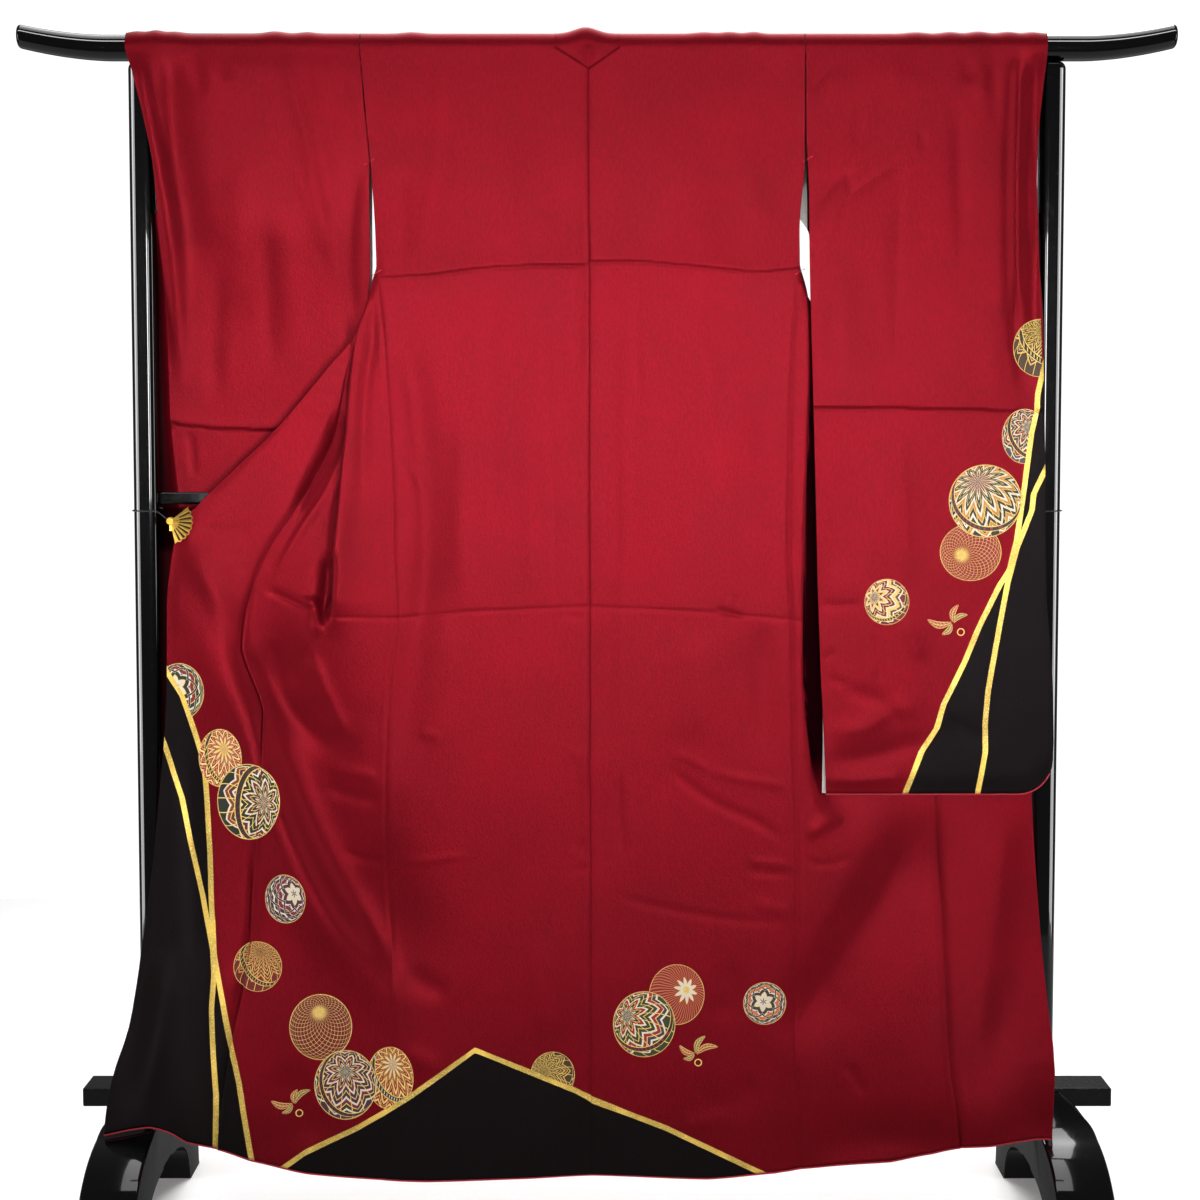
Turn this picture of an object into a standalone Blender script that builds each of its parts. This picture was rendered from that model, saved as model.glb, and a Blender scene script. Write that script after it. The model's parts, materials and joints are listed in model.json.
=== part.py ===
"""Furisode hung over a black lacquered kimono stand, back towards -Y.

X runs to the right of someone who looks at the back, Y away from them, Z up.
The tables are in millimetres and the model is in metres.
The stand is symmetric about X = 0 and Y = 0, and its feet rest on Z = 0.
"""
import math

import bmesh
import bpy
from mathutils import Vector

MM = 0.001

# Cloth: its wall, how sharp a turn of the wall keeps its thickness, the gaps at seams
WALL = 1.6
MITRE_LIMIT = 0.6
SEAM_GAP = 0.6
OVERLAP_GAP = 0.6

# Folds fade out towards a seam, the bar, the free edge and their own two ends
SEAM_EASE = 40.0
BAR_EASE = 50.0
EDGE_FLAT_FROM = 0.75
FOLD_FADE_TOP = 60.0
FOLD_FADE_LOW = 90.0

# Rows of the body panels
HEM_BLEND_FROM = 420.0
HEM_BASE = 100.0
SIDE_SEAM_TOP = 1386.0
BAR_TURNS = 8

# Stand
BAR_RADIUS = 18.5
BAR_Z = 1698.0
BAR_HALF = 822.0
BAR_RISE = 17.0
BAR_RISE_FROM = 690.0
BAR_TIP_SCALE = 0.9
BAR_END_ROUND = 5.0
BAR_END_DEEP = 1.5
CLOTH_RADIUS = 20.0
POST_X = 647.0
POST_SIDE = 36.0
POST_BEVEL = 5.0
POST_INNER = POST_X - POST_SIDE / 2
JOINT_GAP = 0.3
MID_RAIL_Z = 1059.5
MID_RAIL_HIGH = 17.0
MID_RAIL_BEVEL = 3.0
PLANK_HALF = 746.0
PLANK_DEEP = 70.0
PLANK_LOW = 178.0
PLANK_HIGH = 205.0
PLANK_BEVEL = 2.5
FOOT_INNER = 630.0
FOOT_OUTER = 710.0
FOOT_TOP_HALF = 22.0
FOOT_FLARE_FROM = 205.0
FOOT_FLARE_TO = 158.0
FOOT_BEVEL = 3.0
FOOT_BEVEL_FROM = 90.0
FOOT_BEVEL_TO = 120.0
FOOT_RINGS = (-1.0, -0.9, 0.9, 1.0)

# Foot seen from the side: y out from the middle, height of its upper and lower face
FOOT_TOP = (
    (35.4, 200.0), (44.0, 196.0), (60.0, 180.0), (80.0, 166.0), (110.0, 156.0),
    (143.0, 149.0), (175.0, 139.0), (205.0, 124.0), (232.0, 103.0), (252.0, 72.0),
    (264.0, 36.0), (268.0, 0.0),
)
FOOT_UNDER = (
    (190.0, 0.0), (184.0, 22.0), (170.0, 44.0), (146.0, 63.0), (112.0, 77.0),
    (70.0, 86.0), (24.0, 89.0),
)

# Spans of those rows: from which height, to which, and how many
ROW_SPANS = ((BAR_Z, 1440.0, 4), (1440.0, 1290.0, 7), (1290.0, 860.0, 8), (860.0, HEM_BASE, 8))

# Columns of a front panel between its stations, and places across a sleeve
FRONT_COLUMNS = (4, 3, 3, 4)
SLEEVE_COLUMNS = (0.0, 0.12, 0.25, 0.38, 0.51, 0.64, 0.76, 0.86, 0.93, 0.975, 1.0)

# Hem height by x, all round the garment
HEM = (
    (-702, 160), (-669, 164), (-640, 166), (-611, 156), (-588, 140), (-545, 128),
    (-499, 108), (-420, 86), (-309, 75), (-247, 72), (-98, 77), (-7, 82),
    (159, 76), (258, 85), (291, 91), (424, 104), (484, 119), (516, 129),
    (562, 137), (608, 152), (630, 158), (652, 160),
)

# Back panels: height, left side seam, centre seam, right side seam, depth at each
BACK = (
    (1698, -335.0, -12.5, 294.0, -20.0, -20.0, -20.0),
    (1620, -329.0, -12.5, 294.5, -21.5, -22.0, -21.5),
    (1537, -321.0, -12.5, 294.5, -23.0, -24.0, -23.0),
    (1453, -315.0, -12.0, 287.5, -25.0, -25.0, -25.0),
    (1383, -312.0, -11.5, 287.0, -27.0, -26.0, -27.0),
    (1306, -304.0, -11.5, 279.0, -27.5, -27.0, -27.5),
    (1200, -297.0, -11.0, 275.0, -28.0, -28.0, -28.0),
    (1087, -292.0, -11.0, 274.0, -28.5, -29.0, -28.5),
    (979, -290.0, -10.5, 273.0, -29.0, -30.0, -29.0),
    (887, -286.0, -10.0, 278.0, -30.0, -31.0, -30.0),
    (788, -297.0, -10.0, 279.5, -31.0, -32.0, -31.0),
    (677, -303.0, -10.0, 283.0, -33.0, -34.0, -33.0),
    (547, -304.0, -9.5, 287.0, -36.0, -37.0, -36.0),
    (404, -296.0, -9.0, 287.0, -41.0, -42.0, -41.0),
    (300, -293.0, -9.0, 286.0, -44.0, -45.0, -44.0),
    (180, -304.0, -9.0, 290.0, -46.0, -47.0, -46.0),
    (60, -314.0, -9.0, 295.0, -46.0, -47.0, -46.0),
)

# Neck opening in the back panels
NECK_LEFT = -59.0
NECK_RIGHT = 32.0
NECK_LOW = 1668.0
NECK_EASE_FROM = 1500.0

# Overlap panels: how far below the collar's point they start, and the bow across them
OKUMI_INSET = 8.0
OKUMI_BOW = 1.4

# Front panels, far side of the bar and then forward to the clips. Each row is a height
# and four stations after the side seam: pleat edge, pleat inside, middle, overlap seam
FRONT_LEFT = (
    (1698, (-270, 20.0), (-200, 20.0), (-130, 20.0), (-59, 20.0)),
    (1600, (-275, 20.5), (-220, 20.5), (-165, 20.0), (-112, 19.5)),
    (1500, (-282, 18.5), (-245, 19.5), (-208, 19.0), (-170, 18.0)),
    (1440, (-294, 11.0), (-272, 15.0), (-250, 16.0), (-226, 16.0)),
    (1383, (-314, -18.0), (-306, -11.0), (-299, -5.0), (-293, -1.0)),
    (1341, (-326, -25.5), (-311, -18.0), (-312, -11.0), (-319, -9.0)),
    (1290, (-342, -28.0), (-312, -19.0), (-331, -12.0), (-347, -12.0)),
    (1228, (-351, -30.0), (-322, -21.0), (-343, -14.0), (-360, -13.5)),
    (1157, (-357, -32.0), (-330, -23.0), (-352, -16.0), (-373, -15.5)),
    (1106, (-363, -33.0), (-338, -24.0), (-366, -17.0), (-394, -16.5)),
    (1033, (-370, -34.5), (-350, -25.0), (-390, -19.0), (-440, -18.5)),
    (979, (-376, -35.5), (-362, -26.0), (-412, -21.0), (-476, -20.0)),
    (924, (-379, -36.0), (-374, -27.0), (-430, -23.0), (-496, -22.0)),
    (887, (-372, -36.0), (-392, -29.0), (-442, -26.0), (-506, -23.5)),
    (843, (-350, -34.0), (-402, -32.0), (-452, -28.0), (-510, -25.0)),
    (753, (-348, -31.0), (-395, -31.0), (-438, -31.0), (-480, -30.0)),
    (650, (-350, -35.0), (-395, -37.0), (-440, -37.0), (-482, -35.0)),
    (500, (-350, -40.0), (-398, -43.0), (-446, -44.0), (-496, -41.0)),
    (400, (-350, -44.0), (-400, -47.0), (-450, -48.0), (-502, -47.0)),
    (250, (-350, -47.0), (-410, -51.0), (-467, -55.0), (-528, -60.0)),
    (100, (-366, -48.0), (-424, -53.0), (-484, -60.0), (-545, -74.0)),
)
FRONT_RIGHT = (
    (1698, (230, 20.0), (165, 20.0), (98, 20.0), (32, 20.0)),
    (1600, (243, 20.5), (190, 20.5), (140, 20.0), (92, 19.5)),
    (1500, (262, 18.0), (228, 19.0), (196, 19.0), (165, 18.0)),
    (1440, (275, 10.0), (258, 14.0), (241, 15.0), (224, 15.0)),
    (1386, (289, -16.0), (284, -5.0), (277, 2.0), (268, 5.0)),
    (1346, (299, -20.0), (289, -10.0), (294, -5.0), (302, -5.0)),
    (1290, (300, -20.5), (292, -12.0), (308, -9.0), (328, -9.0)),
    (1234, (300, -21.5), (296, -13.0), (322, -11.0), (350, -11.0)),
    (1117, (296, -24.0), (300, -14.0), (344, -13.0), (388, -13.0)),
    (1043, (289, -25.5), (302, -14.5), (362, -14.0), (428, -14.0)),
    (988, (286, -26.5), (303, -15.0), (374, -15.0), (454, -14.5)),
    (935, (289, -27.0), (307, -16.0), (384, -16.0), (470, -15.5)),
    (847, (299, -28.0), (320, -19.0), (396, -18.0), (482, -16.5)),
    (780, (303, -28.0), (322, -21.5), (402, -19.5), (486, -18.5)),
    (650, (311, -31.0), (340, -24.5), (418, -23.5), (489, -22.5)),
    (557, (325, -37.0), (366, -35.0), (426, -32.0), (490, -29.0)),
    (464, (327, -41.0), (371, -41.0), (432, -39.0), (497, -37.0)),
    (325, (331, -46.0), (380, -48.0), (440, -50.0), (502, -52.0)),
    (232, (336, -48.0), (387, -52.0), (446, -58.0), (506, -66.0)),
    (100, (344, -49.0), (400, -55.0), (461, -65.0), (521, -82.0)),
)

# Armhole side of the front panels, far side of the bar: height and depth
ARMHOLE = (
    (1698, 20.0), (1600, 19.5), (1500, 16.0), (1440, 3.0), (1386, -27.0),
)

# Front edge of each overlap panel: height, x and depth, down from the collar's point
EDGE_LEFT = (
    (1290, -348, -12.5), (1248, -382, -14.0), (1197, -424, -15.0), (1157, -461, -16.0),
    (1094, -525, -17.0), (1044, -576, -17.5), (1029, -596, -17.5), (997, -606, -18.0),
    (953, -613, -19.0), (914, -617, -20.0), (785, -619, -22.0), (703, -624, -23.5),
    (621, -632, -26.0), (536, -640, -30.0), (473, -648, -35.0), (410, -656, -41.0),
    (360, -661, -48.0), (300, -668, -56.0), (260, -675, -64.0), (200, -690, -80.0),
    (150, -697, -98.0), (100, -699, -114.0),
)
EDGE_RIGHT = (
    (1290, 329, -9.5), (1234, 388, -11.5), (1157, 468, -13.0), (1094, 540, -13.5),
    (1044, 598, -13.5), (1029, 609, -13.5), (997, 613, -14.0), (953, 616, -14.5),
    (850, 617, -15.5), (700, 618, -17.5), (633, 621, -20.0), (557, 625, -24.0),
    (487, 629, -29.0), (417, 637, -36.0), (347, 649, -46.0), (279, 656, -58.0),
    (241, 661, -70.0), (204, 661, -84.0), (150, 657, -108.0), (100, 653, -131.0),
)
CLIP_Z = 1029.0

# Sleeves: height, body side, cuff side, depth of the near and the far layer
SLEEVE_LEFT = (
    (1698, -335.6, -667.0, -20.0, 20.0),
    (1666, -333.0, -657.0, -21.5, 20.4),
    (1608, -328.5, -643.0, -22.0, 20.2),
    (1537, -322.0, -629.0, -21.5, 20.0),
    (1458, -323.0, -623.0, -18.5, 19.5),
    (1383, -323.5, -618.0, -8.0, 19.0),
    (1314, -328.0, -617.0, 0.5, 19.0),
    (1224, -331.0, -615.0, 6.0, 19.0),
    (1166, -332.0, -614.0, 10.0, 20.0),
    (1071, -334.0, -606.0, 12.5, 21.0),
    (900, -336.0, -602.0, 12.5, 21.0),
    (600, -338.0, -602.0, 12.5, 21.0),
)
SLEEVE_RIGHT = (
    (1698, 294.6, 637.0, -20.0, 20.0),
    (1646, 295.5, 631.0, -21.5, 20.2),
    (1577, 296.0, 624.0, -23.0, 17.0),
    (1507, 299.5, 622.0, -25.5, 6.0),
    (1424, 301.0, 624.5, -28.5, -12.0),
    (1312, 303.5, 631.0, -31.5, -22.8),
    (1188, 307.5, 635.5, -33.0, -23.5),
    (1100, 310.5, 638.0, -34.0, -24.0),
    (919, 315.5, 642.0, -35.5, -25.0),
    (809, 320.0, 651.0, -37.0, -26.5),
    (712, 325.5, 654.0, -38.0, -28.5),
    (600, 330.0, 654.0, -39.0, -29.5),
)
SLEEVE_BOTTOM = 636.0
SLEEVE_CORNER = 50.0
CUFF_LENGTH = 230.0

# The two layers of a sleeve: they near each other at the bottom, and a fold in the near
# one leaves some hollow, stays off the post and shows a little in the far one
BOTTOM_EASE = 30.0
BOTTOM_PINCH = 0.3
LEAST_HOLLOW = 5.0
POST_EASE_NEAR = 3.0
POST_EASE_FAR = 30.0
FAR_SHARE = 0.4
FAR_MOST = 1.5

# Large folds: where each starts, bends and ends (x, z), its width and its depth away
# from the viewer, negative towards them
FOLDS_FRONT_LEFT = (
    ((-583, 1000), (-512, 756), (-300, 300), 26, 11.0),
    ((-560, 990), (-470, 760), (-330, 560), 24, -7.0),
    ((-600, 960), (-560, 640), (-540, 300), 30, -5.0),
    ((-372, 860), (-400, 640), (-450, 380), 30, 5.0),
    ((-540, 620), (-566, 380), (-590, 200), 24, 6.0),
)
FOLDS_FRONT_RIGHT = (
    ((352, 630), (362, 450), (368, 180), 24, 6.0),
    ((430, 630), (436, 480), (446, 200), 30, -6.0),
    ((548, 630), (560, 450), (580, 200), 28, 6.0),
)
FOLDS_BACK = (
    ((-240, 1690), (-248, 1500), (-262, 1380), 18, 4.0),
    ((-34, 1650), (-34, 1400), (-36, 1120), 15, 4.0),
    ((36, 1640), (24, 1420), (22, 1150), 18, -4.0),
    ((-205, 1380), (-215, 900), (-240, 300), 34, 5.0),
    ((-120, 1200), (-130, 700), (-150, 200), 36, -5.0),
    ((120, 1300), (110, 800), (90, 200), 38, 5.0),
    ((215, 1200), (220, 700), (205, 200), 34, -5.0),
)
FOLDS_SLEEVE_LEFT = (
    ((-628, 1700), (-594, 1610), (-590, 1380), 15, 8.0),
    ((-602, 1700), (-570, 1500), (-560, 1300), 14, -5.0),
    ((-452, 1706), (-430, 1560), (-378, 1330), 17, 7.0),
    ((-405, 1700), (-380, 1500), (-352, 1300), 16, -4.0),
)
FOLDS_SLEEVE_RIGHT = (
    ((596, 1690), (588, 1460), (600, 1190), 13, 7.0),
    ((560, 1700), (566, 1500), (575, 1250), 18, -4.0),
    ((480, 1560), (340, 1480), (316, 1380), 22, 3.0),
    ((430, 1150), (440, 900), (450, 660), 40, -5.0),
)

# Gathers over the bar: x, how far the cloth stands up, half width
GATHERS = (
    (-652, 6, 13), (-625, 9, 13), (-598, 5, 14), (-456, 6, 16), (-410, 4, 14),
    (-262, 4, 16), (152, 4, 18), (188, 5, 14), (222, 5, 13), (452, 4, 16),
    (500, 5, 14), (540, 6, 15), (582, 5, 14), (616, 4, 12),
)

# Collar behind the neck: the place, height and width of its rise, its gaps to the panels
# and to the edge over the bar, its lean, and how much of it lies below and over the bar
COLLAR_STAND = (-16.0, 9.0, 22.0)
COLLAR_INSET = 3.0
COLLAR_CLEAR = 1.2
COLLAR_LEAST = 0.8
COLLAR_LEAN = 0.04
COLLAR_BELOW = 0.25
COLLAR_WRAP = 0.94

# Collar tails: from which height to which, how far they lie behind and inside the panel's
# edge, their width, and the way that this width runs
TAIL_TOP = BAR_Z - 12
TAIL_LOW = CLIP_Z + 2
TAIL_BEHIND = 3.4
TAIL_INSET = 1.5
TAIL_WIDE = 48.0
TAIL_ACROSS = 0.72
TAIL_DOWN = 0.62

# Fan clip: pivot, reach of the ribs, their first and last angle, the hub and the relief
FAN_PIVOT = (-611.0, -20.4, 1027.0)
FAN_REACH = 33.0
FAN_FIRST = math.radians(38)
FAN_LAST = math.radians(-78)
FAN_RIBS = 8
FAN_HUB = 4.0
FAN_RELIEF = 1.6
FAN_FRONT = 1.5
FAN_BACK = 1.0
FAN_KNUCKLE = (-23.5, -9.0, 5.5)
FAN_JAW = ((-614.0, -13.0, 1012.0), (-578.0, -10.6, 1030.0))

# Plain clip: front plate, jaw, and the knuckle's x, near end, far end, z and radius
PLAIN_PLATE = ((590.0, -17.3, 1016.0), (618.0, -14.8, 1044.0))
PLAIN_JAW = ((590.0, -8.9, 1016.0), (618.0, -6.9, 1040.0))
PLAIN_KNUCKLE = (618.0, -17.8, -7.3, 1030.0, 4.0)
CLIP_BEVEL = 0.8

# Cords: thickness, where each leaves its clip, its height on the post and its climb
CORD_THICK = 1.6
CORD_LEFT = (-616.8, -19.5, 1030.3)
CORD_RIGHT = (623.2, -15.0, 1031.0)
CORD_Z = 1040.0
CORD_CLIMB = 0.375
CORD_END = 6.0

COLOURS = {
    "silk": ((0.30, 0.012, 0.028, 1.0), 0.55, 0.0),
    "lacquer": ((0.006, 0.006, 0.007, 1.0), 0.12, 0.0),
    "gilt": ((0.72, 0.50, 0.16, 1.0), 0.3, 1.0),
    "cord": ((0.02, 0.02, 0.022, 1.0), 0.8, 0.0),
}


def material(name):
    """The named finish, made once."""
    made = bpy.data.materials.get(name)
    if made:
        return made
    made = bpy.data.materials.new(name)
    made.use_nodes = True
    colour, roughness, metallic = COLOURS[name]
    shader = made.node_tree.nodes["Principled BSDF"]
    shader.inputs["Base Color"].default_value = colour
    shader.inputs["Roughness"].default_value = roughness
    shader.inputs["Metallic"].default_value = metallic
    return made


def smooth(low, high, value):
    """0 below low, 1 above high, and an S curve between."""
    share = min(1.0, max(0.0, (value - low) / (high - low)))
    return share * share * (3 - 2 * share)


def cubic(before, start, end, after, share):
    """A Catmull-Rom step from start to end."""
    return 0.5 * (
        2 * start
        + (end - before) * share
        + (2 * before - 5 * start + 4 * end - after) * share ** 2
        + (3 * start - before - 3 * end + after) * share ** 3
    )


def track(rows, key, column):
    """A column of a table at one value of its first column, smooth between rows."""
    falling = rows[0][0] > rows[-1][0]
    last = len(rows) - 1
    for i in range(last):
        low, high = sorted((rows[i][0], rows[i + 1][0]))
        if low <= key <= high:
            break
    else:
        first_end = key > rows[0][0] if falling else key < rows[0][0]
        return rows[0][column] if first_end else rows[last][column]
    share = (key - rows[i][0]) / (rows[i + 1][0] - rows[i][0])
    start, end = rows[i][column], rows[i + 1][column]
    before = rows[max(i - 1, 0)][column]
    after = rows[min(i + 2, last)][column]
    if (end - start) * (start - before) <= 0:
        before = 2 * start - end if end == start else start
    if (after - end) * (end - start) <= 0:
        after = end
    return cubic(before, start, end, after, share)


def hem(x):
    """The hem's height at x."""
    return track(HEM, x, 1)


def to_hem(x, z):
    """A height pulled so that the lowest row of a panel lies on the hem."""
    share = (HEM_BLEND_FROM - z) / (HEM_BLEND_FROM - HEM_BASE)
    return z + (hem(x) - HEM_BASE) * max(0.0, share)


def fold_depth(x, z, folds):
    """How far the folds push the cloth away from the viewer at a place."""
    depth = 0.0
    for (x0, z0), (x1, z1), (x2, z2), wide, deep in folds:
        if not z2 < z < z0:
            continue
        if z > z1:
            share = (z0 - z) / (z0 - z1)
            middle = x0 + (x1 - x0) * share
        else:
            share = (z1 - z) / (z1 - z2)
            middle = x1 + (x2 - x1) * share
        fade = smooth(z0, z0 - FOLD_FADE_TOP, z) * smooth(z2, z2 + FOLD_FADE_LOW, z)
        depth += deep * fade * math.exp(-(((x - middle) / wide) ** 2))
    return depth


def gather(x):
    """How far the cloth stands off the bar's top at x."""
    return sum(high * math.exp(-(((x - at) / half) ** 2)) for at, high, half in GATHERS)


def over_bar(x, turn):
    """A point on the cloth over the bar, turned from 0, near side, to pi, far side."""
    lift = gather(x) * math.sin(turn) ** 2
    radius = CLOTH_RADIUS + lift
    return (x, -radius * math.cos(turn), BAR_Z + radius * math.sin(turn))


def cloth(name, grid, colour="silk"):
    """A solid wall on a grid of points in millimetres: None leaves a hole, and points that
    meet are sewn together."""
    points, index, faces = [], {}, []
    for row in grid:
        for point in row:
            if point is not None and point not in index:
                index[point] = len(points)
                points.append(point)
    for row, other in zip(grid, grid[1:]):
        for j in range(len(row) - 1):
            ring = (row[j], other[j], other[j + 1], row[j + 1])
            if None not in ring:
                faces.append([index[point] for point in ring])
    wall(name, points, faces, colour)


def wall(name, points, faces, colour="silk"):
    """Give a sheet its thickness: two skins and a rim, as thick in a fold as beside it.

    Both skins split each quad along its shorter diagonal, so they never cross."""
    places = [Vector(point) for point in points]
    outward = [[] for _ in places]
    halves = []
    for face in faces:
        a, b, c, d = (places[k] for k in face)
        normal = (c - a).cross(d - b).normalized()
        for k in face:
            outward[k].append(normal)
        first = 0 if (c - a).length <= (d - b).length else 1
        turned = face[first:] + face[:first]
        halves += [(turned[0], turned[1], turned[2]), (turned[0], turned[2], turned[3])]
    skins = ([], [])
    for place, normals in zip(places, outward):
        middle = sum(normals, Vector()) / len(normals)
        reach = WALL / 2 / max(MITRE_LIMIT, middle.length)
        skins[0].append(place + middle.normalized() * reach)
        skins[1].append(place - middle.normalized() * reach)
    shape = bmesh.new()
    front, back = ([shape.verts.new(point * MM) for point in skin] for skin in skins)
    edges = {(half[k], half[(k + 1) % 3]) for half in halves for k in range(3)}
    for half in halves:
        shape.faces.new([front[k] for k in half])
        shape.faces.new([back[k] for k in reversed(half)])
    for a, b in sorted(edges):
        if (b, a) not in edges:
            shape.faces.new((front[b], front[a], back[a], back[b]))
    bmesh.ops.recalc_face_normals(shape, faces=shape.faces)
    solid(name, shape, colour).data.shade_smooth()


def solid(name, shape, colour):
    """Link a finished bmesh as a named object with its material."""
    mesh = bpy.data.meshes.new(name)
    shape.to_mesh(mesh)
    shape.free()
    mesh.materials.append(material(colour))
    piece = bpy.data.objects.new(name, mesh)
    bpy.context.collection.objects.link(piece)
    return piece


def steps(count):
    """Even shares from 0 to 1."""
    return [i / count for i in range(count + 1)]


def section(stations):
    """Points (x, y) on a smooth curve through a panel's stations, without loops."""
    places = [Vector(station) for station in stations]
    gaps = [max(1.0, (b - a).length ** 0.5) for a, b in zip(places, places[1:])]
    turns = []
    for k in range(len(places)):
        if k in (0, len(places) - 1):
            turns.append(None)
            continue
        back, ahead = places[k] - places[k - 1], places[k + 1] - places[k]
        before, after = gaps[k - 1], gaps[k]
        turns.append(back / before - (back + ahead) / (before + after) + ahead / after)
    points = [tuple(places[0])]
    for k, (gap, count) in enumerate(zip(gaps, FRONT_COLUMNS)):
        start, end = places[k], places[k + 1]
        step = (end - start) / gap
        leave, arrive = (turns[k] or step) * gap, (turns[k + 1] or step) * gap
        for t in steps(count)[1:]:
            point = start * (2 * t ** 3 - 3 * t ** 2 + 1) + leave * (t ** 3 - 2 * t ** 2 + t)
            point += end * (3 * t ** 2 - 2 * t ** 3) + arrive * (t ** 3 - t ** 2)
            points.append(tuple(point))
    return points


def heights():
    """The heights of the rows that every panel of the body shares, from the bar down."""
    found = [BAR_Z]
    for top, low, count in ROW_SPANS:
        found += [top + (low - top) * share for share in steps(count)[1:]]
    return found


def side_point(side, z):
    """A body length's side seam at one height, on the back."""
    x = track(BACK, z, 1 if side < 0 else 3)
    return x, track(BACK, z, 4 if side < 0 else 6), to_hem(x, z)


def stations_at(side, rows, z):
    """A front panel's stations at one height: x and depth, from the side seam on."""
    x, y, height = side_point(side, z)
    if z > SIDE_SEAM_TOP:
        y = track(ARMHOLE, z, 1)
    found = [(x, y)]
    for k in range(1, 5):
        across = [(row[0], row[k][0], row[k][1]) for row in rows]
        found.append((track(across, z, 1), track(across, z, 2)))
    return found


def front_row(side, rows, folds, z):
    """A front panel's points at one height; it is sewn to the back below the armhole."""
    row = []
    stations = stations_at(side, rows, z)
    for x, y in section(stations):
        height = to_hem(x, z)
        from_side = smooth(0, SEAM_EASE, abs(x - stations[0][0]))
        row.append((x, y + fold_depth(x, height, folds) * from_side, height))
    if z <= SIDE_SEAM_TOP:
        row[0] = side_point(side, z)
    return row


def body(name, side, rows, folds, neck_columns=3):
    """One length of cloth: back hem, up over the bar, and down the front."""
    columns = sum(FRONT_COLUMNS)
    neck = NECK_LEFT if side < 0 else NECK_RIGHT
    grid = []
    for z in heights()[::-1]:
        outer, outer_depth, outer_height = side_point(side, z)
        centre = track(BACK, z, 2) + side * SEAM_GAP / 2
        row = [(outer, outer_depth, outer_height)]
        for j in range(1, columns + neck_columns + 1):
            if j <= columns:
                x = outer + (neck - outer) * j / columns
                top = BAR_Z
            else:
                k = (j - columns) / neck_columns
                x = neck + (centre - neck) * k
                top = BAR_Z + (NECK_LOW - BAR_Z) * k
            height = to_hem(x, z - (BAR_Z - top) * smooth(NECK_EASE_FROM, BAR_Z, z))
            reach = abs(x - outer) / abs(centre - outer)
            depth = outer_depth * (1 - reach) + track(BACK, z, 5) * reach
            from_side = smooth(0, SEAM_EASE, abs(x - outer)) * smooth(BAR_Z, BAR_Z - BAR_EASE, z)
            row.append((x, depth + fold_depth(x, height, FOLDS_BACK) * from_side, height))
        grid.append(row)
    outer = side_point(side, BAR_Z)[0]
    for k in range(1, BAR_TURNS):
        turn = math.pi * k / BAR_TURNS
        across = [over_bar(outer + (neck - outer) * j / columns, turn) for j in range(columns + 1)]
        grid.append(across + [None] * neck_columns)
    for z in heights():
        grid.append(front_row(side, rows, folds, z) + [None] * neck_columns)
    cloth(name, grid)


def okumi(name, side, rows, edge, folds, columns=6):
    """The overlap panel between the front panel and the front edge."""
    grid = []
    top = edge[0][0] - OKUMI_INSET
    for z in [top] + [height for height in heights() if height < top - OKUMI_INSET]:
        start_x, start_y = stations_at(side, rows, z)[4]
        start_x += side * OVERLAP_GAP
        end_x, end_y = track(edge, z, 1), track(edge, z, 2)
        row = []
        for share in steps(columns):
            x = start_x + (end_x - start_x) * share
            y = start_y + (end_y - start_y) * share ** OKUMI_BOW
            height = to_hem(x, z)
            fade = 1 - smooth(EDGE_FLAT_FROM, 1.0, share)
            row.append((x, y + fold_depth(x, height, folds) * fade, height))
        grid.append(row)
    cloth(name, grid)


def sleeve(name, rows, folds, count=15):
    """A sleeve over the bar: open at the cuff and the body side, closed below."""
    side = 1 if rows[0][2] > 0 else -1
    inner_low, outer_low = (track(rows, SLEEVE_BOTTOM, column) for column in (1, 2))
    inner_top, outer_top = rows[0][1:3]
    points, faces = [], []
    for share in SLEEVE_COLUMNS:
        x_low = inner_low + (outer_low - inner_low) * share
        past = max(0.0, side * (x_low - outer_low) + SLEEVE_CORNER)
        low = SLEEVE_BOTTOM + SLEEVE_CORNER - math.sqrt(max(0.0, SLEEVE_CORNER ** 2 - past ** 2))
        near, far = [], []
        for down in steps(count):
            z = BAR_Z + (low - BAR_Z) * down
            x = track(rows, z, 1) * (1 - share) + track(rows, z, 2) * share
            hollow = track(rows, z, 4) - track(rows, z, 3)
            pinch = smooth(low + BOTTOM_EASE, low, z) * BOTTOM_PINCH * hollow
            bend = fold_depth(x, z, folds) * smooth(BAR_Z, BAR_Z - BAR_EASE, z)
            if bend > 0:
                from_post = POST_INNER - abs(x)
                bend *= smooth(POST_EASE_NEAR, POST_EASE_FAR, from_post)
            near.append((x, track(rows, z, 3) + pinch + min(bend, hollow - LEAST_HOLLOW), z))
            far.append((x, track(rows, z, 4) - pinch + min(bend * FAR_SHARE, FAR_MOST), z))
        x_top = inner_top + (outer_top - inner_top) * share
        arc = [over_bar(x_top, math.pi * k / BAR_TURNS) for k in range(1, BAR_TURNS)]
        points += near[::-1] + arc + far
    ring = len(points) // len(SLEEVE_COLUMNS)
    last = len(points) - ring
    for start in range(0, last, ring):
        for k in range(ring):
            n = (k + 1) % ring
            faces.append((start + k, start + n, start + ring + n, start + ring + k))
    for k in range(count):
        if points[last + k + 1][2] < BAR_Z - CUFF_LENGTH:
            faces.append((last + k, last + k + 1, last + ring - 2 - k, last + ring - 1 - k))
    wall(name, points, faces)


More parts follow.
